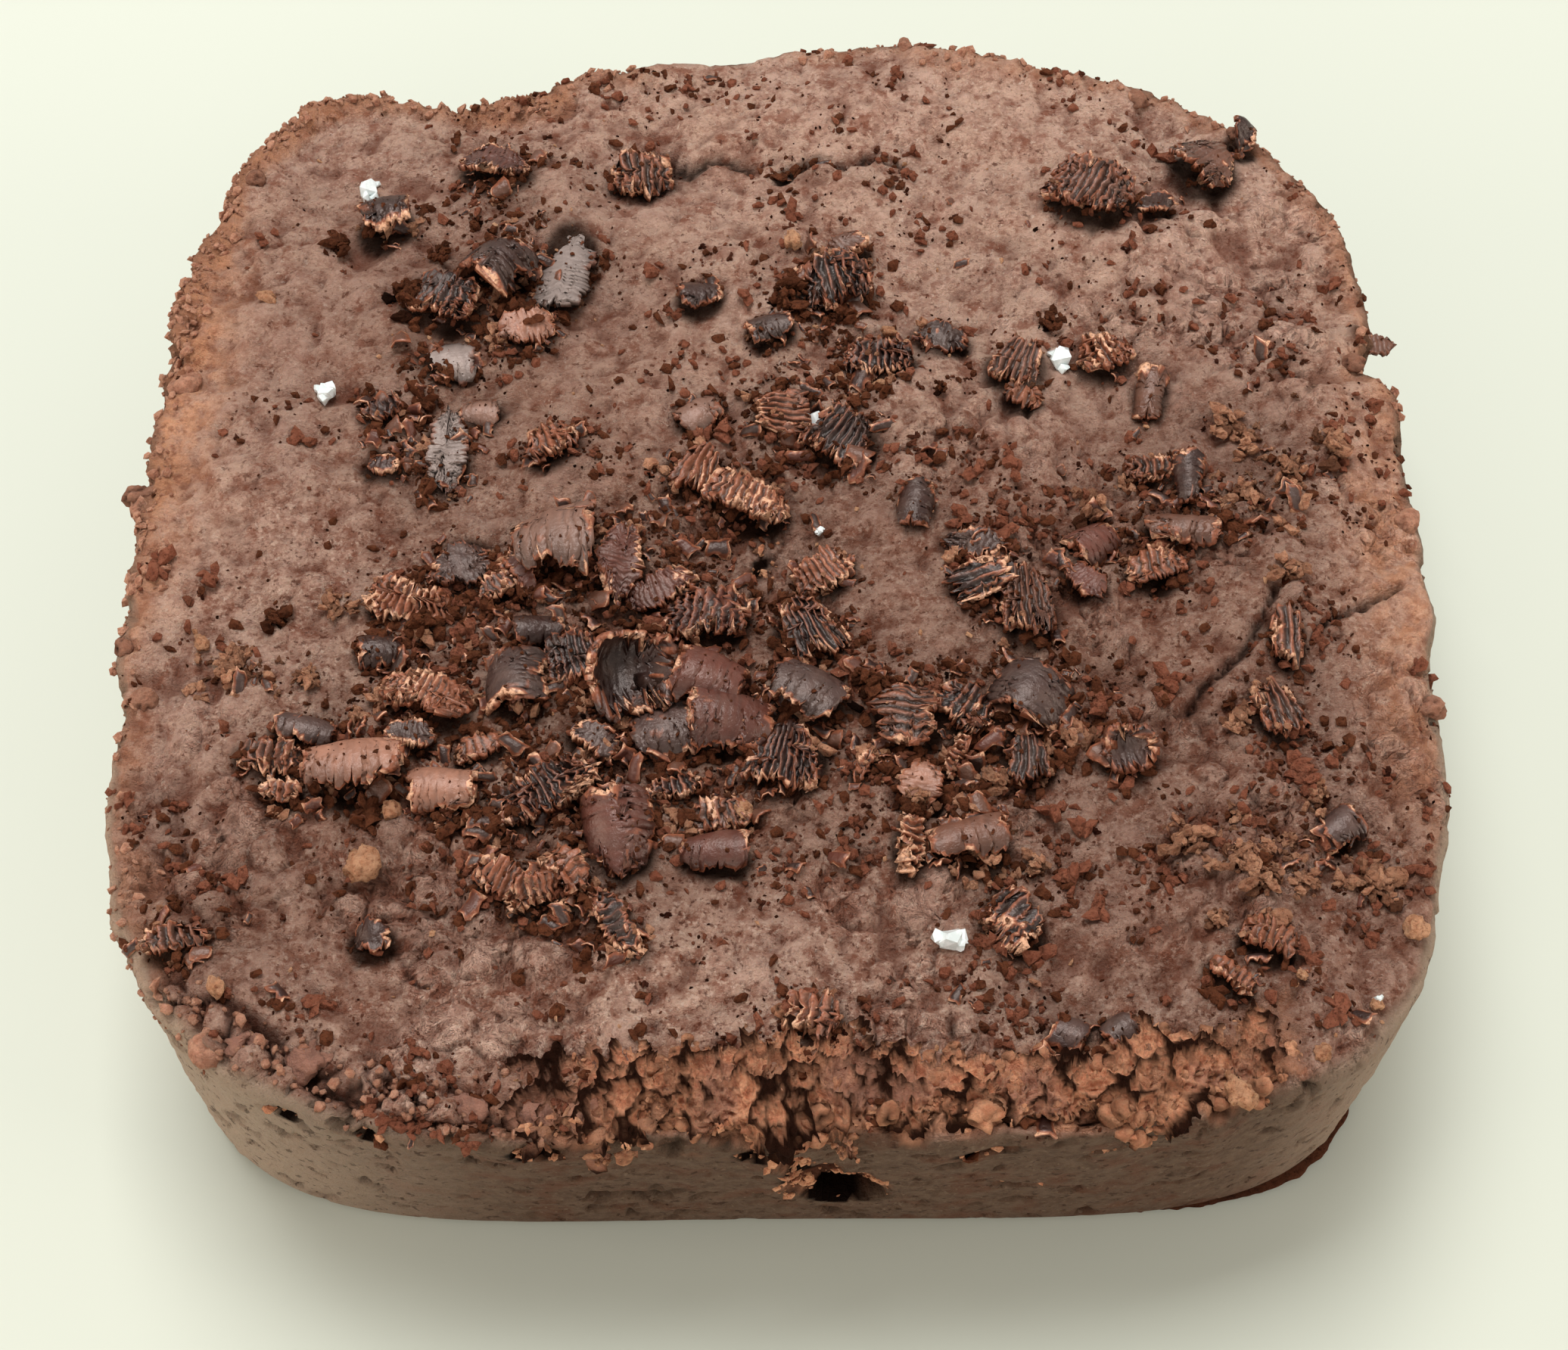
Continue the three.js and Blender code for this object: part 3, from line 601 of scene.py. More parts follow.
# Coarse crystals of sea salt: clear with a milky heart, with sharp bright faces.
SEA_SALT = Finish("sea_salt", "#dfe8e6", (Layer("#f7fbfa", 0.3, 0.4, 0.6, detail=3),), 0.18, 1.54, (), (
    ("Transmission Weight", 0.12),
))

# A studio's paper sweep: matte and pale green white.
PALE_PAPER = Finish("pale_paper", "#cdd1c4", (), 0.9)


# ---- the block ----


@dataclass(frozen=True)
class Mound:
    """A bump of the top, or a dip where its height is below zero."""

    x: float
    y: float
    along_x: float
    along_y: float
    height: float


@dataclass(frozen=True)
class Swing:
    """A place where the outline swings out or in, by its heading from the middle, in degrees."""

    heading: float
    spread: float
    push: float


@dataclass(frozen=True)
class Pit:
    """A hole of the wall or lip: its heading, height, size and depth."""

    heading: float
    z: float
    wide: float
    high: float
    deep: float


@dataclass(frozen=True)
class Groove:
    """A crack or a sharp fold of the top, along a few points."""

    path: tuple[tuple[float, float], ...]
    half_width: float
    depth: float

    def share(self, x: Array, y: Array) -> Array:
        """How near each place is to the groove.

        Args:
            x: Places to the right.
            y: Places to the back.

        Returns:
            A share for each place: 1 in the groove's middle, 0 outside it.
        """
        nearest = np.full(np.shape(x), np.inf)
        for (x0, y0), (x1, y1) in zip(self.path, self.path[1:]):
            span = (x1 - x0) ** 2 + (y1 - y0) ** 2
            along = np.clip(((x - x0) * (x1 - x0) + (y - y0) * (y1 - y0)) / span, 0, 1)
            apart = np.hypot(x - x0 - along * (x1 - x0), y - y0 - along * (y1 - y0))
            nearest = np.minimum(nearest, apart)
        return np.clip(1 - nearest / self.half_width, 0, 1)


def headings(x: Array, y: Array) -> Array:
    """The heading of each place from the middle, from 0 to 360 degrees."""
    return np.degrees(np.arctan2(y, x)) % 360


def apart_round(heading: Array, other: float) -> Array:
    """How far each heading is past another one, from -180 to 180 degrees."""
    return (heading - other + 180) % 360 - 180


def outward(x: Array, y: Array) -> tuple[Array, Array, Array]:
    """How far each place is from the middle, and the two parts of its heading, which is one long."""
    distance = np.maximum(np.hypot(x, y), 1e-9)
    return distance, x / distance, y / distance


@dataclass
class FudgeBlock:
    """The moulded block: a rounded square with a tapering wall, an uneven top and a broken front lip."""

    width: float = 42.6
    depth: float = 43.0
    height: float = 10.2
    foot_share: float = 0.957
    lip_squareness: float = 4.0
    foot_squareness: float = 5.0
    lip_radius: float = 0.8
    foot_radius: float = 0.45
    cells: int = 212  # cells along each side of the top
    wall_rows: int = 46
    lip_rows: int = 6
    # A hole at least dark_from deep gets painted shade inside.
    dark_from: float = 1.0  # the depth from which a hole is dark inside
    lip_start: tuple[float, float] = (-19.5, -17.5)  # x where the broken lip starts and where it is full
    lip_end: tuple[float, float] = (14.0, 15.5)
    lip_front: tuple[float, float] = (15.5, 17.0)  # how far to the front it starts and is full
    rim_start: tuple[float, float] = (98.0, 118.0)  # the headings where the crumbly rim starts and is full
    rim_thins: tuple[float, float] = (168.0, 195.0)
    rim_end: tuple[float, float] = (215.0, 235.0)
    back_right: float = 45.0  # the heading of the corner where the rim is crumbly too
    lump_size: float = 1.25  # of the soft lumps of the top
    cobble_size: float = 0.95  # of the crumbs of the broken lip
    swell: Waves = Waves(11, 10, 9, 0.16)
    ripple: Waves = Waves(23, 14, 3.6, 0.08)
    rim_waves: Waves = Waves(31, 12, 3, 0.07)
    mounds: tuple[Mound, ...] = (
        Mound(0.5, 18.2, 5.5, 1.3, 0.55),  # ridge near the back
        Mound(12.5, 14.6, 3, 1.6, 0.3),
        Mound(-12.5, 19.2, 3.6, 2.2, -0.7),  # worn edge at the back left
        Mound(10, -12, 2.6, 2.4, -0.35),
        Mound(16.5, -3, 2, 4, 0.25),
        Mound(14, -8.4, 1.6, 2, -0.25),
        Mound(-1.5, -17, 5, 1.6, 0.22),
        Mound(-14.5, 1, 3, 3, 0.2),
        Mound(-4, -5, 5, 4, -0.2),
        Mound(7.5, 9.5, 3, 2.4, -0.2),
    )
    swings: tuple[Swing, ...] = (
        Swing(356, 6, 0.25),
        Swing(12, 6, 0.2),
        Swing(17.6, 1.8, -0.85),  # nick in the right side
        Swing(47, 6.5, -0.6),  # flattened corner at the back right
        Swing(83, 15, 0.9),  # bulge of the back
        Swing(105, 3, -0.45),
        Swing(112, 2.5, -0.45),
        Swing(116.5, 6, -1.6),  # bitten corner at the back left
        Swing(122, 3, -0.5),
        Swing(132, 4.5, 0.6),
        Swing(146, 4, -0.35),
        Swing(166, 5, 0.15),
        Swing(200, 10, -0.2),
        Swing(222, 8, -0.25),
        Swing(327, 6, -0.3),
        Swing(340, 6, -0.2),
    )
    pits: tuple[Pit, ...] = (
        Pit(-84.4, 3.9, 2.3, 1.7, 4.0),  # the torn crevice
        Pit(-86.0, 5.0, 3.4, 3.0, 0.7),
        Pit(-87.6, 6.4, 1.7, 2.2, 1),
        Pit(-89.4, 8, 1.3, 2, 0.8),
        Pit(-108.3, 9.2, 1.5, 1, 1.4),
        Pit(-119.8, 9.3, 0.9, 0.7, 1),
        Pit(-125.6, 9.1, 1.1, 0.8, 1),
        Pit(-92, 9, 1.2, 0.9, 1.2),
        Pit(-74.5, 9, 1.8, 0.8, 1.1),
        Pit(-71, 4.8, 1.8, 0.4, 0.5),
        Pit(-66, 8.6, 1.0, 0.35, 0.4),
    )
    grooves: tuple[Groove, ...] = (
        Groove(((20.3, -2.9), (19.4, -3.3), (18.2, -4.0), (17.2, -4.8)), 0.24, 0.45),
        Groove(((16.2, -3.0), (15.8, -3.8), (15.3, -4.7), (14.2, -6.0), (12.9, -7.4)), 0.26, 0.45),
        Groove(((-4.2, 16.7), (-3.2, 15.9), (-2.0, 16.4), (-0.9, 16.0)), 0.34, 0.4),
        Groove(((0.2, 15.5), (1.5, 16.1), (2.6, 15.8), (3.8, 16.5), (4.8, 16.1)), 0.3, 0.4),
    )

    def reach(self, x: Array, y: Array, share: Array) -> Array:
        """How far the rounded square reaches from the middle.

        Args:
            x: The heading's part to the right, of a heading one long.
            y: Its part to the back.
            share: The share of the height.

        Returns:
            Millimetres from the middle.
        """
        power = self.foot_squareness + (self.lip_squareness - self.foot_squareness) * share
        along = np.abs(x) / (self.width / 2)
        back = np.abs(y) / (self.depth / 2)
        return np.maximum(along**power + back**power, 1e-30) ** (-1 / power)

    def profile(self) -> list[tuple[float, float]]:
        """The wall's section.

        Returns:
            Heights and distances inside the lip, from the base up to the top.
        """
        foot = (1 - self.foot_share) * self.width / 2
        rows = [(0.0, foot + self.foot_radius), (self.foot_radius * 0.3, foot + self.foot_radius * 0.3)]
        wall_top = self.height - self.lip_radius
        for step in range(self.wall_rows + 1):
            share = step / self.wall_rows
            rows.append((self.foot_radius + (wall_top - self.foot_radius) * share, foot * (1 - share)))
        for step in range(1, self.lip_rows + 1):
            angle = step / self.lip_rows * math.pi / 2
            inset = self.lip_radius * (1 - math.cos(angle))
            rows.append((wall_top + self.lip_radius * math.sin(angle), inset))
        return rows

    def to_outline(self, a: Array, b: Array, z: float, inset: float) -> Array:
        """Carries points of the unit square to the rounded outline at a height.

        Args:
            a: Places across the square, from -1 to 1.
            b: Places along it.
            z: The height.
            inset: How far inside the outline the square's edge comes.

        Returns:
            One point a row.
        """
        edge = np.maximum(np.abs(a), np.abs(b))
        away = edge > 0
        length = np.where(away, np.hypot(a, b), 1)
        heading_x, heading_y = np.where(away, a / length, 1), b / length
        full = self.reach(heading_x, heading_y, z / self.height) - inset
        even = self.width / 2 * length / np.where(away, edge, 1)
        pull = 1 + (full / even - 1) * edge**2
        x, y = a * pull * self.width / 2, b * pull * self.width / 2
        return np.stack([x, y, np.full_like(x, z)], axis=1)

    def front_edge(self, x: Array) -> Array:
        """How far to the front the plain lip reaches at each place to the right."""
        power = self.lip_squareness
        return (1 - (np.abs(x) / (self.width / 2)) ** power) ** (1 / power) * self.depth / 2

    def swing(self, x: Array, y: Array) -> Array:
        """How much the outline swings out.

        Args:
            x: Places to the right.
            y: Places to the back.

        Returns:
            Millimetres along each place's heading.
        """
        heading = headings(x, y)
        push = self.rim_waves.at(x, y)
        for swing in self.swings:
            push = push + swing.push * np.exp(-((apart_round(heading, swing.heading) / swing.spread) ** 2))
        return push

    def relief(self, x: Array, y: Array) -> Array:
        """How much the top stands above its plain height.

        Args:
            x: Places to the right.
            y: Places to the back.

        Returns:
            Millimetres for each place.
        """
        lift = self.swell.at(x, y) + self.ripple.at(x, y)
        for mound in self.mounds:
            spread = ((x - mound.x) / mound.along_x) ** 2 + ((y - mound.y) / mound.along_y) ** 2
            lift = lift + mound.height * np.exp(-spread)
        return lift

    def inside(self, x: Array, y: Array) -> Array:
        """How far inside the lip's outline a place is, in millimetres."""
        distance, out_x, out_y = outward(x, y)
        return self.reach(out_x, out_y, 1.0) + self.swing(x, y) - distance

    def top_height(self, x: float, y: float) -> float:
        """The height of the finished top, with the round of the lip taken off.

        Args:
            x: The place to the right.
            y: The place to the back.

        Returns:
            Millimetres above the base.
        """
        short = self.lip_radius - np.clip(self.inside(x, y), 0, self.lip_radius)
        drop = self.lip_radius - np.sqrt(self.lip_radius**2 - short**2)
        return self.height + self.relief(x, y) - drop

    def shaped(self, points: Array) -> Array:
        """Moves the points of the plain block to their places on the uneven one.

        Args:
            points: The plain block's points, one a row.

        Returns:
            The moved points.
        """
        x, y, z = points.T
        distance, out_x, out_y = outward(x, y)
        rim = smooth_step(distance / self.reach(out_x, out_y, 1.0), 0.72, 1)
        push = self.swing(x, y) * rim * smooth_step(z, 0.2 * self.height, 0.85 * self.height)
        lift = self.relief(x, y) * smooth_step(z, 0.5 * self.height, self.height)
        return np.stack([x + out_x * push, y + out_y * push, z + lift], axis=1)

    def plain_shape(self) -> Shape:
        """Makes the plain block.

        Returns:
            Its shape: a grid for the top, rings of the wall, and a flat base.
        """
        cells = self.cells
        across = np.linspace(-1, 1, cells + 1)
        a, b = (grid.ravel() for grid in np.meshgrid(across, across))
        top = self.to_outline(a, b, self.height, self.lip_radius)
        number = np.arange((cells + 1) ** 2).reshape(cells + 1, cells + 1)
        loop = np.concatenate([number[:-1, -1], number[-1, :0:-1], number[:0:-1, 0], number[0, :-1]])
        ring_a, ring_b = a[loop], b[loop]
        points, rings = [top], []
        start = len(top)
        for z, inset in self.profile()[:-1]:
            points.append(self.to_outline(ring_a, ring_b, z, inset))
            rings.append(start + np.arange(len(loop)))
            start += len(loop)
        rings.append(loop)
        sides = np.concatenate([grid_faces(number), grid_faces(np.array(rings), True)])
        points.append(np.zeros((1, 3)))
        fan = np.stack([np.full(len(loop), start), np.roll(rings[0], -1), rings[0]], axis=1)
        return Shape(np.concatenate(points), [sides[:, [0, 3, 2, 1]], fan])

    def lip_share(self, points: Array) -> Array:
        """How much each place belongs to the broken front lip.

        Args:
            points: Places, one a row.

        Returns:
            A share for each place.
        """
        x, y, z = points.T
        along = smooth_step(x, *self.lip_start) * (1 - smooth_step(x, *self.lip_end))
        along = along * smooth_step(-y, *self.lip_front)
        inside = self.inside(x, y) + 0.35 * lattice_noise(points, 0.9, 15)
        wide = 2.2 + 0.7 * smooth_step(x, -7, -2) + 0.7 * lattice_noise(points, 1.7, 5)
        band = smooth_step(inside, 0.15, 0.45) * (1 - smooth_step(inside / wide, 0.55, 1.05))
        return along * band * smooth_step(z, self.height - 1.6, self.height - 0.8)

    def rim_share(self, points: Array) -> Array:
        """How much each place belongs to the dry crumbly rim of the left side and the back.

        Args:
            points: Places, one a row.

        Returns:
            A share for each place.
        """
        x, y, z = points.T
        heading = headings(x, y)
        side = smooth_step(heading, *self.rim_start) * (1 - 0.75 * smooth_step(heading, *self.rim_thins))
        side = side * (1 - smooth_step(heading, *self.rim_end))
        side = np.maximum(side, 0.35 * (1 - smooth_step(np.abs(heading - self.back_right), 30, 50)))
        wide = 1.3 + 0.7 * lattice_noise(points, 2.1, 9)
        below = np.maximum(self.height - z, 0)
        apart = np.hypot(np.maximum(self.inside(x, y), 0), below * 0.9)
        return side * (1 - smooth_step(apart / wide, 0.3, 1.0))

    def pit_depth(self, points: Array) -> tuple[Array, Array]:
        """The holes of the wall.

        Args:
            points: Places, one a row.

        Returns:
            How deep the holes are at each place, and the painted shade inside the deep ones.
        """
        x, y, z = points.T
        heading = headings(x, y)
        ragged = 0.35 * fractal_noise(points, 0.8, 41, 3)
        depth, dark = np.zeros(len(points)), np.zeros(len(points))
        for pit in self.pits:
            apart = np.radians(apart_round(heading, pit.heading)) * np.hypot(x, y)
            spread = (2 * apart / pit.wide) ** 2 + (2 * (z - pit.z) / pit.high) ** 2 + ragged
            depth = np.maximum(depth, pit.deep * np.clip(1 - spread, 0, 1) ** 0.8)
            if pit.deep >= self.dark_from:
                # Painted shade inside a deep hole, darker below its middle and lighter toward its sides.
                light = 0.65 * smooth_step(apart, 0.05 * pit.wide, 0.35 * pit.wide)
                shadow = smooth_step(1 - spread + 0.5 * (z < pit.z), -0.32, -0.06)
                dark = np.maximum(dark, shadow * (1 - light))
        return depth, dark

    def build(self) -> Shape:
        """Makes the block with its fine relief.

        Returns:
            Its shape, with marks that say where it is wall, broken, open or dusty, and where it carries
            painted shade, painted shadow, painted highlights and painted light.
        """
        shape = self.plain_shape()
        height = shape.points[:, 2] / self.height
        shape.points = self.shaped(shape.points)
        points = shape.points
        x, y = points.T[:2]
        normals = shape.normals()
        base = smooth_step(height, 0.02, 0.08)
        wall = (1 - smooth_step(normals[:, 2], 0.6, 0.9)) * smooth_step(height, 0, 0.01)
        lip = self.lip_share(points)
        rim = self.rim_share(points)

        bent = points + 0.3 * fractal_noise(points, 0.8, 35, 2)[:, None]
        lumps = cell_noise(bent, self.lump_size, 36)[0]
        cobbles, which = cell_noise(bent, self.cobble_size, 37)
        cobbles = cobbles * (0.55 + 0.45 * which)
        soft = 0.17 * fractal_noise(points, 1.5, 3, 2) + 0.22 * fractal_noise(points, 0.6, 4, 2, 0.7)
        cracked = smooth_step(fractal_noise(points, 3.4, 85, 2), -0.15, 0.25) * (1 - wall)
        cracked = cracked * smooth_step(0.6 * x - y, -8, 2)
        soft += (0.14 + 0.2 * cracked) * (lumps - 0.7)
        pores = smooth_step(fractal_noise(points, 0.8, 8, 3, 0.6), 0.25, 0.5)
        wall_grain = 0.16 * fractal_noise(points, 1.6, 6, 4, 0.8) - 0.35 * pores
        billow = 1 - 2.2 * np.abs(fractal_noise(points, 0.95, 7, 3, 0.6))
        # tip says where the broken crumb gets a painted highlight: the high places of the billow noise.
        tip = np.clip(0.5 + 0.5 * billow, 0, 1)
        dents = smooth_step(fractal_noise(points, self.cobble_size, 33, 2), 0.38, 0.66)
        out = (soft - 0.2 * dents) * (1 - wall) + wall_grain * wall * base
        out += 0.9 * (cobbles - 0.6) * lip + 0.45 * billow * rim
        # gap holds painted shade: in the grooves, inside the deep holes, in the wall's pores and between the
        # lip's crumbs.
        gap = np.zeros(len(points))
        wiggle = 0.3 * fractal_noise(points, 0.8, 21, 3), 0.3 * fractal_noise(points, 0.8, 24, 3)
        for groove in self.grooves:
            share = groove.share(x + wiggle[0], y + wiggle[1]) * (1 - wall)
            out -= groove.depth * share
            gap = np.maximum(gap, smooth_step(share, 0.25, 0.8) * 0.85)
        pit, dark = self.pit_depth(points)
        pit = pit * smooth_step(self.height * 0.99 - points[:, 2], -0.4, 0.1)
        distance, out_x, out_y = outward(x, y)
        away = np.stack([out_x, out_y, 0 * distance], axis=1)
        shape.points = points + normals * (out * base)[:, None] - away * (pit * base)[:, None]
        gap = np.maximum(gap, np.maximum(dark, smooth_step(pit, 0.5, 0.9)))
        gap = np.maximum(gap, 0.5 * pores * wall * base)
        gap = np.maximum(gap, lip * (1 - smooth_step(cobbles, 0.05, 0.4)) * 0.9)
        # Dark dust where the litter lies thick, with painted shade among it, and painted shadow at the foot
        # of each shaving.
        dust_and_shadow = 0.4 * litter(x, y) * smooth_step(fractal_noise(points, 1.1, 82, 2), -0.4, 0.3) + shadow_under_shavings(x, y)
        cake = lip * smooth_step(x, -10, -6)
        # The dry crumb's warm colour on the rim, with painted rim light in bands along the left and right
        # edges.
        dry_crumb_and_rim_light = rim + 0.8 * np.exp(-(((x + 20.8) / 1.5) ** 2) - ((y - 7) / 8) ** 2)
        dry_crumb_and_rim_light = dry_crumb_and_rim_light + 0.5 * np.exp(-(((x - 20.4) / 1.4) ** 2) - ((y + 3) / 9) ** 2)
        broken = np.clip(np.maximum(cake, rim * 0.5) + 0.8 * smooth_step(pit, 0.02, 0.3), 0, 1)
        # Painted shade where the fine relief is low and between the lip's crumbs.
        hollow_shade = smooth_step(-soft + 0.15 * dents, 0.03, 0.24) + lip * (1 - smooth_step(cobbles, 0.2, 0.6))
        # Painted light on the wall's left and right ends, strongest on the left and toward the front.
        side = smooth_step(-x, 7, 19) + 0.8 * smooth_step(x, 13, 20)
        side = side * smooth_step(-y + 5 * fractal_noise(points, 5, 87, 2), -9, 15)
        marks = {
            "wall": wall,
            "hollow_shade": hollow_shade * (1 - wall),
            "pale": side * wall,
            # Painted highlight on the raised knobs of the relief.
            "knob_highlight": smooth_step(soft, 0.03, 0.2) * (1 - wall),
            "broken": broken,
            "tip": broken * smooth_step(tip, 0.35, 0.85) * (1 - smooth_step(pit, 0.15, 0.4)),
            "gap": gap,
            "dust_and_shadow": dust_and_shadow * (1 - wall),
            "cracked": cracked * smooth_step(fractal_noise(points, 1.3, 86, 2), -0.3, 0.2),
            # Painted shade over broad patches of the top.
            "shaded": drift_share(SHADED, x, y) + 0.9 * SHADED_LEFT.share(x, y),
            "dry_crumb_and_rim_light": dry_crumb_and_rim_light,
            "bold": smooth_step(-y, -9, 3) * smooth_step(x, -22, -15) * (1 - wall),
        }
        shape.marks = {name: np.clip(value, 0, 1) for name, value in marks.items()}
        return shape


# ---- shavings ----


class Cut(Enum):
    """How the grater cut a shaving."""

    CURL = "curl"
    ROLL = "roll"
    RIBS = "ribs"
    COMB = "comb"
    LEAF = "leaf"
    CUP = "cup"


class Tone(Enum):
    """The colour of a shaving's smooth face."""

    BLUE = "#7b5a4c"
    SLATE = "#786a64"
    GREY = "#43302b"
    DARK = "#2b1611"
    RED = "#562f25"
    BROWN = "#5f3d2f"
    PINK = "#8f6350"
    TAN = "#7d4b34"


@dataclass(frozen=True)
class Habit:
    """What the shavings of one cut have in common, in millimetres and shares.

    rib_pitch and rib_depth are the ridges, side_tear and end_tear how ragged the edges are, teeth how often
    its front is notched, narrow how much of its length the back keeps, and round the power of its corners.
    """

    rib_pitch: float
    rib_depth: float
    side_tear: float
    end_tear: float
    teeth: float
    narrow: float
    round: float
    crests: float  # how pale the ridges' crests are


HABITS = {
    Cut.CURL: Habit(0.22, 0.009, 0.34, 0.3, 0.3, 0.95, 5, 0.0),
    Cut.ROLL: Habit(0.24, 0.015, 0.4, 0.3, 0.3, 0.9, 6, 0.0),
    Cut.RIBS: Habit(0.29, 0.34, 0.5, 0.3, 0.45, 0.9, 4, 1.0),
    Cut.COMB: Habit(0.31, 0.3, 0.4, 0.2, 0.5, 0.45, 5, 0.9),
    Cut.LEAF: Habit(0.22, 0.05, 0.5, 0.4, 0.3, 0.8, 2.6, 0.15),
    Cut.CUP: Habit(0.24, 0.05, 0.4, 0.35, 0.4, 1.0, 3, 0.0),
}


@dataclass(frozen=True)
class Shaving:
    """One shaving: its cut, middle, length along its heading, width across it, heading and rise.

    tip lifts its front edge, in degrees, and roll lifts its right end.
    """

    cut: Cut
    x: float
    y: float
    long: float
    wide: float
    turn: float
    rise: float
    tone: Tone = Tone.BROWN
    tip: float = 0.0
    roll: float = 0.0


C, O, R, M, L, U = Cut.CURL, Cut.ROLL, Cut.RIBS, Cut.COMB, Cut.LEAF, Cut.CUP
BLUE, SLATE, GREY, DARK, RED, BROWN, PINK, TAN = Tone
PALE_TONES = (PINK, TAN)

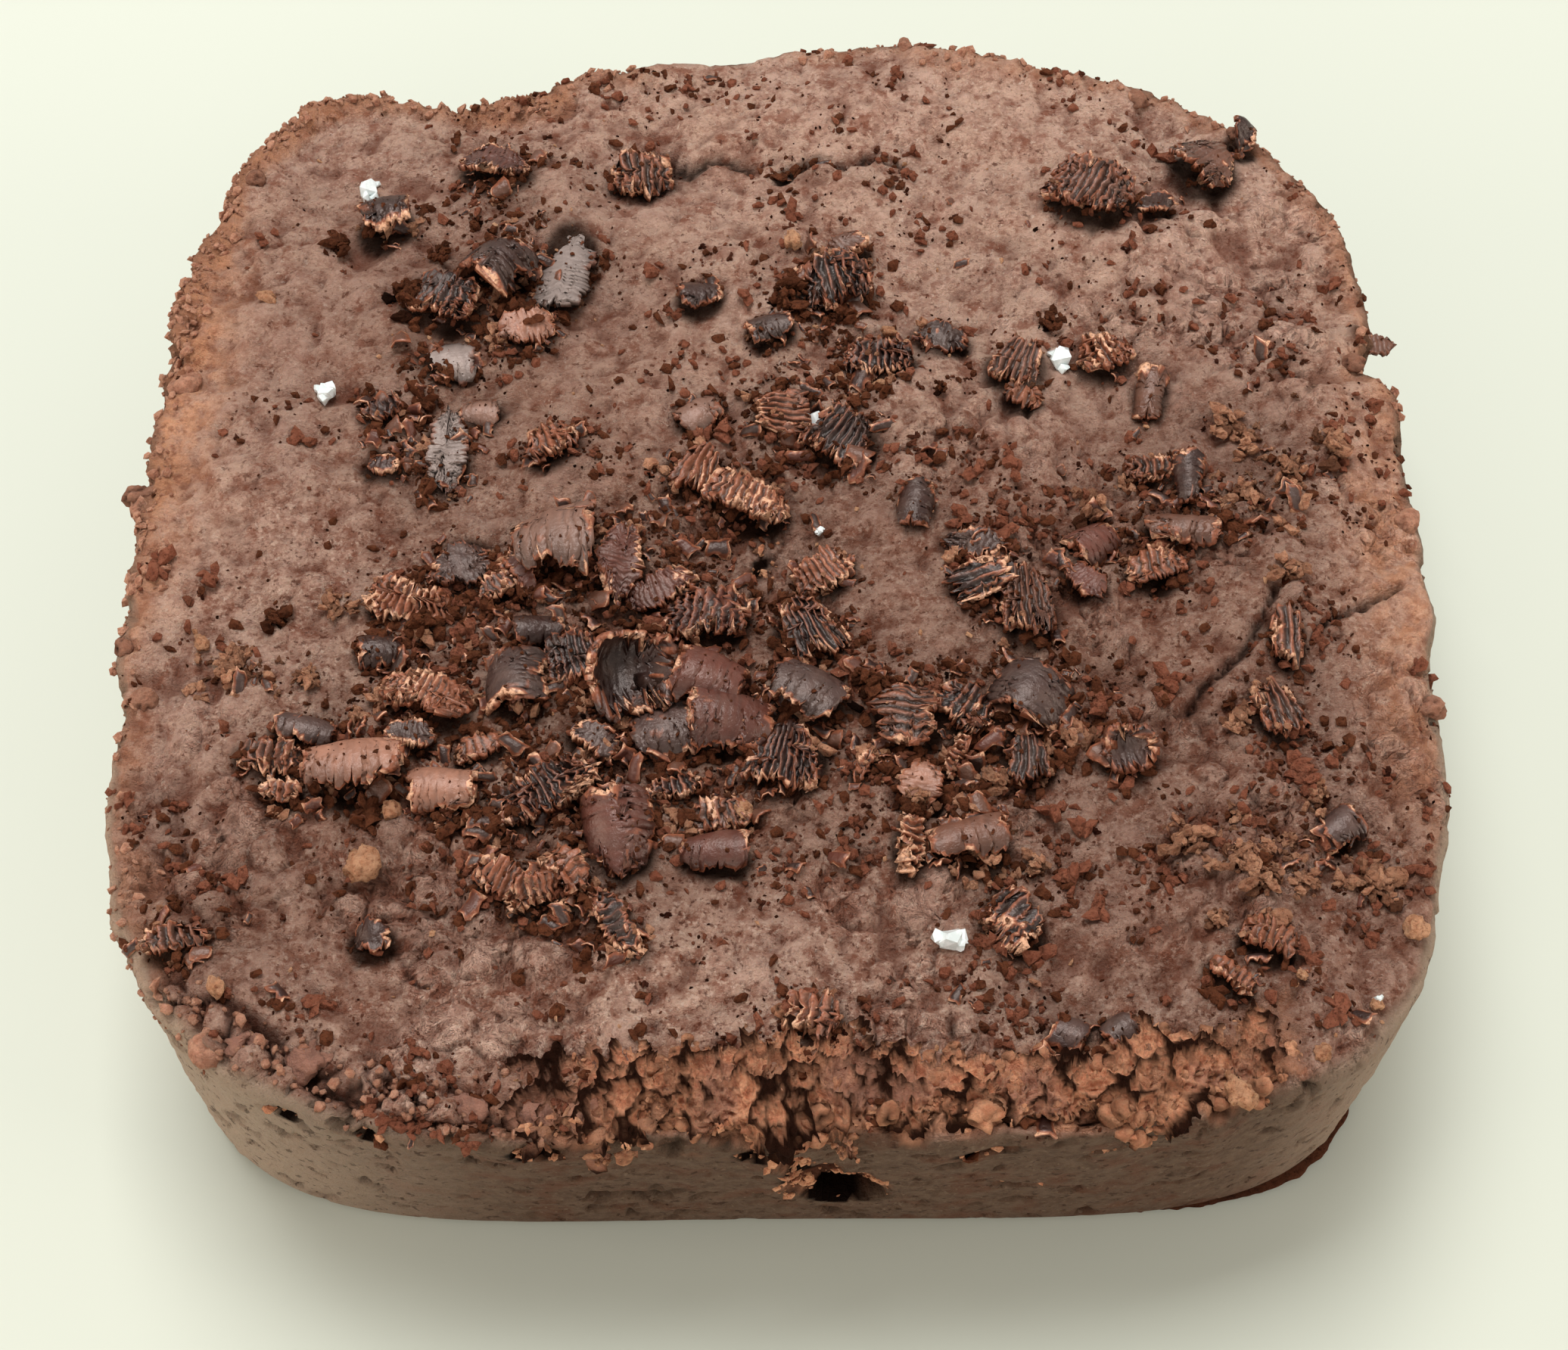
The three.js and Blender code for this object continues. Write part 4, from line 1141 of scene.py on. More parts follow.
# Cut, x, y, length, width, heading, rise and tone, and where they tilt the lift of the front edge and of
# the right end. The small ones come last.
SHAVINGS = tuple(Shaving(*row) for row in (
    (C, -7.2, -1.4, 2.5, 2.6, 4, 1.25, BLUE, 12), (L, -5.2, -1.7, 2.9, 1.4, 83, 0.55, RED, 0, 10),
    (L, -3.9, -2.7, 2.5, 1.2, 23, 0.5, RED, 12), (R, -2.3, -3.7, 2.7, 1.9, -12, 0.5, RED),
    (L, -10.4, -1.7, 1.9, 1.8, 20, 0.3, GREY), (R, -12, -3.3, 2.6, 1.4, -12, 0.4, TAN),
    (U, -5.1, -5.7, 2.5, 2.5, 15, 1.3, DARK, -30, -8), (C, -8.3, -6.3, 2, 1.7, 92, 0.8, GREY),
    (R, -6.6, -5.5, 1.8, 1.7, 12, 0.6, DARK, 10), (R, -11.2, -7, 2.8, 1.4, -16, 0.5, TAN, 8),
    (C, -2.3, -6.4, 2, 1.9, -18, 0.95, RED, 8), (C, -1.7, -7.8, 2.5, 1.9, -5, 0.85, RED, 6),
    (C, -3.7, -8, 1.8, 1.8, 12, 0.55, GREY), (M, 0.1, -9.1, 2.5, 2.2, -12, 0.5, DARK),
    (C, -13.2, -9.5, 2.8, 1.9, 5, 0.75, PINK, 14, 8), (R, -15.9, -9, 2, 1.1, -6, 0.4, BROWN),
    (C, -10.4, -10.1, 1.9, 1.3, 0, 0.6, PINK, 6), (R, -7.3, -10.2, 3.4, 1.6, 28, 0.4, DARK),
    (C, -4.9, -11.8, 2.6, 1.8, 96, 0.8, RED), (R, -4.9, -14.8, 2.4, 0.9, -56, 0.4, DARK),
    (M, 8, -3.5, 1.9, 2.6, 0, 0.5, BROWN, 10), (R, 6.6, -2.5, 1.2, 2.1, -72, 0.4, DARK),
    (R, 12.4, -2.1, 1.8, 1.2, 11, 0.45, TAN, 18), (C, 13.4, -0.5, 2.3, 1, -13, 0.45, BROWN),
    (M, 15.7, -7.5, 1.5, 2, 14, 0.4, BROWN, 8), (R, 4, -7.7, 2.2, 1.9, 85, 0.65, BROWN),
    (R, 5.8, -7.3, 1.8, 1.5, -35, 0.4, DARK), (O, 7.9, -6.9, 1.9, 2.1, 58, 1, GREY, 0, -10),
    (M, 7.8, -8.9, 1.4, 1.7, 0, 0.35, DARK), (C, 5.7, -12.1, 2.2, 1.3, 11, 0.6, BROWN, 14),
    (R, 6.9, -14.6, 1.9, 1.6, -55, 0.5, DARK), (C, 0.9, -6.8, 2.2, 2, -30, 0.6, GREY, 4),
    (M, 1, -4.4, 2, 2.2, 24, 0.55, DARK), (R, 1.5, -2.1, 1.9, 1.3, 34, 0.6, TAN, 16),
    (O, -14.1, 13.2, 1.7, 1.8, 10, 0.8, DARK, 20), (R, -11.8, 9.4, 2.7, 1.8, -24, 0.7, DARK),
    (O, -9.8, 10.6, 2, 2, 50, 1.1, DARK), (C, -7.5, 11.2, 3.9, 1.8, 80, 0.25, SLATE),
    (L, -10.3, 15.8, 2.6, 1.6, -14, 0.6, RED, 14), (R, -4.9, 15.6, 2, 1.7, 6, 0.55, BROWN),
    (L, -8.8, 8.3, 2, 1.4, 19, 0.4, PINK), (C, -11.4, 6.9, 1.6, 1.4, 0, 0.3, SLATE),
    (L, -11.2, 3, 3.4, 1.3, 90, 0.35, SLATE), (R, -7.6, 2.9, 1.7, 1.4, 24, 0.45, TAN, 12),
    (M, -2.7, 2, 1.7, 1.7, -25, 0.5, TAN), (R, -1.1, 0.7, 2.8, 1.4, -19, 0.6, TAN, 16),
    (M, 0.2, 4.5, 2, 1.8, 90, 0.45, PINK), (M, 2.1, 3.5, 2.5, 1.9, -30, 0.6, DARK),
    (R, 3.6, 6.8, 2.3, 1.4, -7, 0.45, DARK), (L, 5.8, 8, 1.8, 1.2, -13, 0.4, DARK),
    (M, 8.3, 6.5, 1.9, 1.8, -20, 0.5, BROWN), (R, 11.4, 6.8, 1.9, 1.4, 24, 0.5, TAN),
    (R, 11.4, 13.9, 3, 2.3, -27, 0.8, BROWN), (L, 15.7, 15.6, 2.5, 2, -50, 0.7, BROWN, 12),
    (L, 17.3, 17, 1.4, 0.9, 76, 1, DARK), (R, 2, 9.9, 2.6, 2, 10, 0.7, DARK),
    (L, 21.2, 8.1, 1.6, 0.8, 5, 0.3, BROWN), (R, 13.1, -16.7, 1.4, 0.6, -40, 0.4, TAN, 10),
    (R, 14.4, -15.5, 1.6, 1.1, -23, 0.5, TAN, 20), (C, 17.1, -11.7, 1.2, 1, 30, 0.5, GREY),
    (C, 13.8, 1.5, 1.8, 0.7, 84, 0.4, DARK), (C, -7.8, -4.3, 1.5, 0.9, 6, 0.4, DARK),
    (R, -8.5, -13.2, 1.4, 1.1, -22, 0.4, TAN), (L, -11.6, -8.3, 1.6, 1, 0, 0.3, GREY),
    (L, 10, -2.5, 1.6, 1, -48, 0.4, RED), (R, 3.9, -12.2, 2, 0.8, 88, 0.5, TAN),
    (C, -14.9, -8, 1.8, 0.9, -12, 0.4, GREY), (C, 4.6, 0.5, 1.8, 0.9, 80, 0.5, DARK),
    (R, 12.6, 2, 1.8, 0.9, 6, 0.4, BROWN), (C, -2.7, 4.5, 1.4, 1.2, 36, 0.4, BLUE),
    (U, 10.9, -8.8, 1.5, 1.3, 10, 0.5, GREY, -14), (C, 12.9, 5.2, 2.1, 0.8, 77, 0.4, BROWN),
    (R, -6.6, -13.2, 1.7, 1, -52, 0.7, TAN, 22), (R, -7.5, -13.7, 1.7, 1, 27, 0.7, TAN, -16),
    (R, 16.3, -4.8, 0.9, 1.9, -2, 0.4, BROWN), (C, -0.2, 8, 1.5, 1.2, 20, 0.4, DARK),
    (C, -2.7, 9.5, 1.4, 1.3, 10, 0.4, DARK), (R, -1.9, -11, 1.7, 1.1, 10, 0.5, BROWN),
    (C, 10.4, -0.8, 1.6, 1.2, 43, 0.5, RED), (R, 0.9, -17.8, 1.5, 1.3, -14, 0.4, PINK),
    (L, 4.4, -10.2, 1.6, 1.3, 79, 0.5, PINK, 8), (L, 6.5, -1.1, 2.1, 1, -7, 0.35, GREY),
    (C, -2, -12.3, 1.9, 1.1, -2, 0.6, RED, 10), (L, -8.5, -2.3, 1.9, 0.6, -62, 0.6, RED, 20),
    (R, -9.1, -2.7, 1.4, 0.8, 38, 0.4, BROWN), (R, -15.4, -10.1, 1.2, 0.7, -10, 0.35, TAN),
    (R, 2.6, -9.4, 1.3, 0.4, 62, 0.35, TAN, 10), (R, 5.6, -8.9, 1.6, 0.5, 62, 0.35, TAN, 10),
    (R, -18, -15.3, 1.8, 0.8, 10, 0.35, BROWN), (L, 2.6, 11.6, 1.5, 1.1, 40, 0.5, BROWN, 12),
    (R, 8.4, 4.9, 1.2, 0.9, -20, 0.35, TAN), (C, -10.2, 4.7, 1.3, 0.9, 0, 0.3, BLUE),
    (L, -12.2, -15.1, 1.1, 1.0, 0, 0.5, DARK), (L, -13.3, 2.3, 1.1, 0.8, 0, 0.3, DARK),
    (R, -13.5, 4.6, 1.3, 0.9, 12, 0.3, DARK), (L, 13.7, 13.6, 1.5, 0.6, 15, 0.5, DARK),
    (C, 8.4, -18.2, 0.9, 0.8, -30, 0.45, GREY), (C, 9.8, -18.3, 0.9, 0.8, 30, 0.45, GREY),
    (C, -12.8, -5.0, 1.3, 1.1, 10, 0.4, DARK), (R, -9.4, -8.6, 1.5, 0.8, 25, 0.4, TAN, 12),
    (L, -5.8, -8.4, 1.6, 1.0, -35, 0.45, GREY, 8), (R, -3.3, -10.0, 1.7, 0.7, 12, 0.35, DARK),
))


def tinted(tone: Tone, shades: Array) -> Array:
    """The tone for each point, darker or paler by its shade."""
    tint = np.array(linear(tone.value))
    return np.concatenate([shades[:, None] * tint[None, :3], np.ones((len(shades), 1))], axis=1)


@dataclass
class Grating:
    """All the grated chocolate: thin bent sheets, each closed and with a torn edge."""

    thickness: float = 0.22
    grow: float = 1.16  # makes up for what tearing takes off the edges
    sink: float = 0.12
    column: float = 0.055  # millimetres from one column of points to the next
    row: float = 0.085
    fringe_per_mm: float = 6.0
    edge_waves: tuple[float, ...] = (1.3, 2.9, 6.1, 12.7)  # waves along a torn edge, coarse to fine
    torn_from: float = 0.6  # how torn the sheet is where crumbs can hang
    smooth_fringe: float = 0.22  # the share of crumbs that a smooth curl's edge has
    open_tip: float = 17.0  # degrees that a curl's front edge stands open
    bowl_from: float = 0.35  # the rise from which it does
    lean: float = 13.0  # degrees that any of them may lean by chance
    ceiling: float = 11.95  # the height that none of them stands above
    seed: int = 47

    def edge_walk(self, stream: Stream, count: int, tear: float, teeth: float) -> Array:
        """A torn edge, as shares of the full reach.

        Args:
            stream: Where the draws come from.
            count: How many points the edge has.
            tear: How ragged it is.
            teeth: How often it is notched.

        Returns:
            One share for each point.
        """
        place = np.linspace(0, 1, count)
        edge = np.ones(count)
        for turns in self.edge_waves:
            edge -= tear * 0.5 / turns**0.5 * (0.5 + 0.5 * np.sin(math.tau * (place * turns + stream.draw())))
        edge -= np.array([tear * 0.35 * stream.draw() for _ in range(count)])
        wait = 0
        for index in range(count):
            wait -= 1
            if wait < 0 and stream.draw() < teeth:
                edge[index] -= stream.between(0.2, 0.6)
                wait = 2
        return np.clip(edge + tear * 0.35, 0.3, 1.12)

    def bent(self, shaving: Shaving, along: Array, across: Array, taper: float) -> Array:
        """Bends a flat sheet to the arc of its width and rise.

        Args:
            shaving: The shaving.
            along: Places along its length, in millimetres.
            across: Places across it, as shares from -1 to 1.
            taper: How much wider its right end is than its left.

        Returns:
            The bent sheet's points, in the grid's own order.
        """
        half_wide, rise = shaving.wide / 2 * self.grow, shaving.rise * self.grow
        share = 2 * along / shaving.long
        if shaving.cut in (Cut.CURL, Cut.ROLL, Cut.CUP):
            radius = half_wide**2 / (2 * rise) + rise / 2
            half = math.asin(min(1.0, half_wide / radius))
            half = math.pi - half if rise > half_wide else half
            cone = 1 + taper * share
            y = radius * np.sin(across * half) * cone
            z = (radius * np.cos(across * half) - radius + rise) * cone - self.thickness / 2
            z = z - 0.12 * rise * share**2
            if shaving.cut is Cut.CUP:
                z = 0.6 * rise * share**2 + rise - z
        else:
            lift = rise - self.thickness
            y = across * half_wide
            arch = 0.75 - 0.75 * share**2
            z = self.thickness / 2 + lift * arch + lift * 0.25 * np.sin(2.2 * across + share)
        return np.stack([along, y, z], axis=-1)

    def sheet(self, shaving: Shaving, stream: Stream) -> Shape:
        """One shaving as a closed thin sheet about its own middle.

        Args:
            shaving: The shaving.
            stream: Where the draws come from.

        Returns:
            Its shape, with the marks tint and torn.
        """
        habit = HABITS[shaving.cut]
        columns = max(10, round(shaving.long / self.column))
        rows = max(6, round(shaving.wide / self.row))
        u, v = grid(columns, rows)
        front = self.edge_walk(stream, columns + 1, habit.side_tear, habit.teeth)
        back = self.edge_walk(stream, columns + 1, habit.side_tear, habit.teeth * 0.4)
        left = self.edge_walk(stream, rows + 1, habit.end_tear, 0.05)
        right = self.edge_walk(stream, rows + 1, habit.end_tear, 0.05)
        corner = np.maximum((1 - np.abs(u) ** habit.round) ** (1 / habit.round), 0.3)
        across = v * np.where(v < 0, front[:, None], back[:, None]) * corner
        shift = stream.draw() * math.tau
        wander = 0.5 * np.sin(v * 2.1 + shift)
        offset = np.array([stream.between(-40, 40) for _ in range(3)])
        flat = np.stack([u * shaving.long / 2, v * shaving.wide / 2, 0 * u], axis=-1).reshape(-1, 3) + offset
        wobble = fractal_noise(flat, 0.8, 53, 2).reshape(u.shape)
        pitch = habit.rib_pitch * stream.between(0.7, 1.15)
        phase = u * shaving.long / (2 * pitch) * math.tau + wander + 2.2 * wobble
        ridge = (0.5 + 0.5 * np.cos(phase)) ** (0.7 if shaving.tone in PALE_TONES else 1.5)
        strength = np.clip(0.75 + 1.1 * fractal_noise(flat, 0.6, 54, 2), 0.1, 1.3).reshape(u.shape)
        strength = strength * stream.between(0.35, 1.0)
        narrow = 1 + (habit.narrow - 1) * (across + 1) / 2
        along = u * np.where(u < 0, left[None, :], right[None, :]) * narrow * shaving.long / 2 * self.grow
        middle = self.bent(shaving, along, across, stream.between(-0.22, 0.22))
        twist = stream.between(-0.25, 0.25)
        middle[..., 2] += twist * middle[..., 0] * across * 0.5
        slope = np.cross(np.gradient(middle, axis=0), np.gradient(middle, axis=1))
        normal = slope / np.maximum(np.linalg.norm(slope, axis=-1), 1e-9)[..., None]
        flat = middle.reshape(-1, 3) + offset
        rough = fractal_noise(flat, 0.3, 51, 3).reshape(u.shape)
        broad = fractal_noise(flat, 0.9, 52, 2).reshape(u.shape)
        ridges = habit.rib_depth * strength * (ridge - 0.5)
        half = self.thickness / 2 * (1 + 0.3 * broad)
        crumbly = 0.012 + 0.09 * min(1, 2 * habit.crests)
        outer = middle + normal * (half + ridges + crumbly * rough + 0.03 * broad)[..., None]
        inner = middle - normal * (half + 0.08 * rough - 0.6 * ridges)[..., None]
        outer[..., 0] -= 0.35 * ridges

        points = np.concatenate([outer.reshape(-1, 3), inner.reshape(-1, 3)])

        inside = np.minimum((1 - np.abs(v)) * shaving.wide / 2, (1 - np.abs(u)) * shaving.long / 2)
        edge = 1 - smooth_step(inside - 0.12 * rough - 0.12 * np.maximum(broad, 0), 0.03, 0.09)
        edge[0], edge[-1], edge[:, 0], edge[:, -1] = 1, 1, 1, 1
        edge *= np.clip(0.75 + 0.6 * broad + 0.4 * rough, 0.3, 1) * (0.4 if shaving.tone is SLATE else 1.0)
        edge *= 1.0 if habit.crests else 0.94
        patch = smooth_step(rough + broad, 0.55, 0.85) * (0.9 if habit.crests else 0.4)
        crest = habit.crests * smooth_step(ridge, 0.55, 0.95) * (0.85 if shaving.tone in PALE_TONES else 0.6)
        torn = np.clip(np.maximum(np.maximum(edge, patch), crest * (0.8 + 0.7 * broad)), 0, 1)
        hidden = np.maximum(edge * 0.7, 0.25 + 0.3 * rough)
        torn = np.concatenate([torn.ravel(), hidden.ravel()])
        # The grooves between the ribs are painted darker: painted shade in the creases.
        groove = 1 - 0.85 * min(1, habit.crests) * smooth_step(0.5 - ridge, 0, 0.4)
        drawn = np.stack([u * shaving.long, v * 0.4, 0 * u], axis=-1).reshape(-1, 3) + offset
        streak = 1 + 0.3 * lattice_noise(drawn, 0.2, 55)
        # The underside is painted at 0.4, painted shade under the sheet, and each point is painted darker the
        # lower it stands: painted shade toward the foot.
        shades = np.concatenate([groove.ravel() * streak, np.full(u.size, 0.4)])
        shades = shades * stream.between(0.85, 1.2)
        shades = shades * (0.45 + 0.65 * smooth_step(points[:, 2] / (shaving.rise * self.grow), 0.05, 0.95))
        return Shape(points, [sheet_faces(*u.shape)], {"tint": tinted(shaving.tone, shades), "torn": torn})

    def fringe(self, sheet: Shape, shaving: Shaving, stream: Stream) -> list[Shape]:
        """The tiny crumbs that hang on a shaving's torn edge.

        Args:
            sheet: The shaving's shape.
            shaving: The shaving.
            stream: Where the draws come from.

        Returns:
            One shape a crumb, with the mark shade.
        """
        rim = np.flatnonzero(sheet.marks["torn"][: len(sheet.points) // 2] > self.torn_from)
        if len(rim) == 0:
            return []
        bits = []
        share = self.smooth_fringe if HABITS[shaving.cut].crests < 0.5 else 1.0
        for _ in range(round((shaving.long + shaving.wide) * self.fringe_per_mm * share)):
            spot = sheet.points[rim[int(stream.draw() * len(rim))]]
            size = stream.between(0.06, 0.13 + 0.1 * share)
            bits.append(tumbled(stream, Vector(spot), size, 0.7, 1, 0.0, 1.0))
        return bits

    def pieces(self, block: FudgeBlock) -> tuple[dict[Cut, Shape], Shape]:
        """Lays every shaving on the block.

        Args:
            block: The block that they lie on.

        Returns:
            One joined shape for each cut, and the crumbs on their edges.
        """
        stream = Stream(self.seed)
        laid: dict[Cut, list[Shape]] = {}
        fringes: list[Shape] = []
        for shaving in SHAVINGS:
            sheet = self.sheet(shaving, stream)
            bowl = shaving.cut in (Cut.CURL, Cut.ROLL) and shaving.rise > self.bowl_from
            lean_front = shaving.tip + self.open_tip * bowl + stream.between(-self.lean, self.lean)
            lean_side = shaving.roll + stream.between(-self.lean, self.lean)
            tip = Matrix.Rotation(math.radians(-lean_front), 4, "X")
            roll = Matrix.Rotation(math.radians(-lean_side), 4, "Y")
            turn = Matrix.Rotation(math.radians(shaving.turn), 4, "Z")
            lean = math.sin(math.radians(abs(lean_front))) * shaving.wide / 2
            lean += math.sin(math.radians(abs(lean_side))) * shaving.long / 2
            top = float(block.top_height(shaving.x, shaving.y))
            spot = Matrix.Translation((shaving.x, shaving.y, lean * 0.6 - self.sink)) @ turn @ roll @ tip
            squash = min(1.0, (self.ceiling - top) / sheet.placed(spot).points[:, 2].max())
            place = Matrix.Translation((0, 0, top)) @ Matrix.Diagonal((1, 1, squash, 1)) @ spot
            laid.setdefault(shaving.cut, []).append(sheet.placed(place))
            fringes += [bit.placed(place) for bit in self.fringe(sheet, shaving, stream)]
        return {cut: joined(sheets) for cut, sheets in laid.items()}, joined(fringes)


# ---- crumbs ----


GRAIN_KINDS = 900  # the small grains that one is drawn from


def taken_out(mesh: bmesh.types.BMesh) -> tuple[Array, Array]:
    """Takes the geometry out of an edited mesh and frees it.

    Args:
        mesh: The mesh, all of whose faces have as many corners.

    Returns:
        Its points and its faces.
    """
    mesh.verts.index_update()
    points = np.array([vert.co for vert in mesh.verts])
    faces = np.array([[vert.index for vert in face.verts] for face in mesh.faces])
    mesh.free()
    return points, faces


def ball(level: int) -> tuple[Array, Array]:
    """The points and faces of a ball of radius 1.

    Args:
        level: How finely it is made, from the 24 four-cornered faces of 0 to the 320 triangles of 3.

    Returns:
        Its points and faces.
    """
    mesh = bmesh.new()
    if level == 0:
        bmesh.ops.create_cube(mesh, size=2)
        bmesh.ops.subdivide_edges(mesh, edges=mesh.edges, cuts=1, use_grid_fill=True)
        for vert in mesh.verts:
            vert.co.normalize()
    else:
        bmesh.ops.create_icosphere(mesh, subdivisions=level, radius=1)
    return taken_out(mesh)


BALLS = {level: ball(level) for level in range(4)}


def lump(radius: float, stretch: tuple[float, float, float], level: int, rough: float, seed: float) -> Shape:
    """A craggy crumb about its own middle.

    Args:
        radius: Its rough radius, in millimetres.
        stretch: How it is drawn out along x, y and z.
        level: How finely it is made.
        rough: How craggy it is.
        seed: Which crumb.

    Returns:
        Its shape, with the mark shade: a painted highlight at its tips and on its top, painted shade in its
            hollows.
    """
    points, faces = BALLS[level]
    place = points + seed * 7.31
    crags = 1 - 2 * np.abs(fractal_noise(place, 0.7, 61, min(level, 3), 0.6))
    bulge = fractal_noise(place, 1.2, 62, 1)
    size = 1 + rough * (0.8 * (crags - 0.5) + 0.7 * bulge)
    shaped = points * size[:, None] * np.array(stretch) * radius
    # Painted highlight at the tips and on the top, painted shade in the hollows.
    shade = np.clip(0.5 + 0.9 * rough * (crags - 0.6) + 0.12 * points[:, 2], 0, 1)
    return Shape(shaped, [faces], {"shade": shade})


def shard(seed: int, flat: float, level: int = 1) -> Shape:
    """A small craggy grain, one millimetre across, for strewing.

    Args:
        seed: Which grain.
        flat: Its height as a share of its width.
        level: How finely it is made.

    Returns:
        Its shape.
    """
    stream = Stream(seed)
    points, faces = BALLS[level]
    push = 1 + 0.75 * lattice_noise(points + seed * 3.7, 0.6, seed)
    stretch = np.array([stream.between(0.8, 1.4), stream.between(0.55, 1.0), flat])
    return Shape(points * push[:, None] * stretch * 0.5, [faces])


def tumbled(
    stream: Stream, spot: Vector, size: float, flat: float, level: int, dark: float, spread: float
) -> Shape:
    """A craggy grain, turned by chance.

    Args:
        stream: Where the draws come from.
        spot: Its place.
        size: Its width.
        flat: Its height as a share of its width.
        level: How finely it is made.
        dark: The least shade that it can have.
        spread: How much paler it may be by chance.

    Returns:
        Its shape, with the mark shade.
    """
    grain = shard(int(stream.draw() * GRAIN_KINDS), flat, level)
    turn = Matrix.Rotation(stream.draw() * 6, 4, "Z") @ Matrix.Rotation(stream.draw() * 6, 4, "X")
    shade = np.full(len(grain.points), np.clip(dark + spread * stream.draw(), 0, 1))
    return Shape(grain.points * size, grain.faces, {"shade": shade}).placed(Matrix.Translation(spot) @ turn)


def clump(seed: int) -> Shape:
    """A few grains grown together, about one millimetre across, for strewing.

    Args:
        seed: Which clump.

    Returns:
        Its shape.
    """
    stream = Stream(seed + 300)
    grains = []
    for index in range(4):
        grain = shard(int(stream.draw() * GRAIN_KINDS), stream.between(0.4, 0.8))
        heading, tilt = stream.draw() * math.tau, stream.between(-1, 1)
        turn = Matrix.Rotation(heading, 4, "Z") @ Matrix.Rotation(tilt, 4, "X")
        spot = Vector((math.cos(heading) * 0.26, math.sin(heading) * 0.26, stream.between(-0.05, 0.2)))
        size = stream.between(0.4, 0.7)
        grains.append(Shape(grain.points * size, grain.faces).placed(Matrix.Translation(spot) @ turn))
    return joined(grains)


def flake(seed: int, tone: Tone, wide: float) -> Shape:
    """A small torn flake of grated chocolate, one millimetre long, for strewing.

    Args:
        seed: Which flake.
        tone: The colour of its smooth face.
        wide: Its width as a share of its length.

    Returns:
        Its shape, with the marks tint and torn.
    """
    stream = Stream(seed)
    columns, rows = 6, 3
    u, v = grid(columns, rows)
    front = np.array([stream.between(0.6, 1.1) for _ in range(columns + 1)])
    back = np.array([stream.between(0.6, 1.1) for _ in range(columns + 1)])
    ends = np.array([stream.between(0.75, 1.1) for _ in range(rows + 1)])
    arc = stream.between(0.5, 1.5)  # radians from the middle to an edge
    radius = 0.5 * wide / math.sin(arc)
    across = v * np.where(v < 0, front[:, None], back[:, None]) * arc
    cone = 1 + stream.between(-0.25, 0.25) * u
    x = 0.5 * u * ends[None, :] + 0.1 * stream.between(-1, 1) * v
    y = radius * np.sin(across) * cone
    z = radius * (np.cos(across) - math.cos(arc)) * cone + 0.12 * stream.between(-1, 1) * u**2
    z = z + np.array([[stream.between(-0.03, 0.03) for _ in range(rows + 1)] for _ in range(columns + 1)])
    upper = np.stack([x, y, z + 0.04], axis=-1).reshape(-1, 3)
    lower = np.stack([x * 0.96, y * 0.92, z - 0.05], axis=-1).reshape(-1, 3)
    edge = (np.maximum(np.abs(u), np.abs(v)) > 0.99) * np.array(
        [[stream.between(0.55, 1.0) for _ in range(rows + 1)] for _ in range(columns + 1)])
    torn = np.concatenate([edge.ravel(), np.full(u.size, 0.35)])
    # The underside is painted at half, painted shade under the flake.
    shades = np.concatenate([np.ones(u.size), np.full(u.size, 0.5)]) * stream.between(0.75, 1.25)
    marks = {"tint": tinted(tone, shades), "torn": torn}
    return Shape(np.concatenate([upper, lower]), [sheet_faces(*u.shape)], marks)


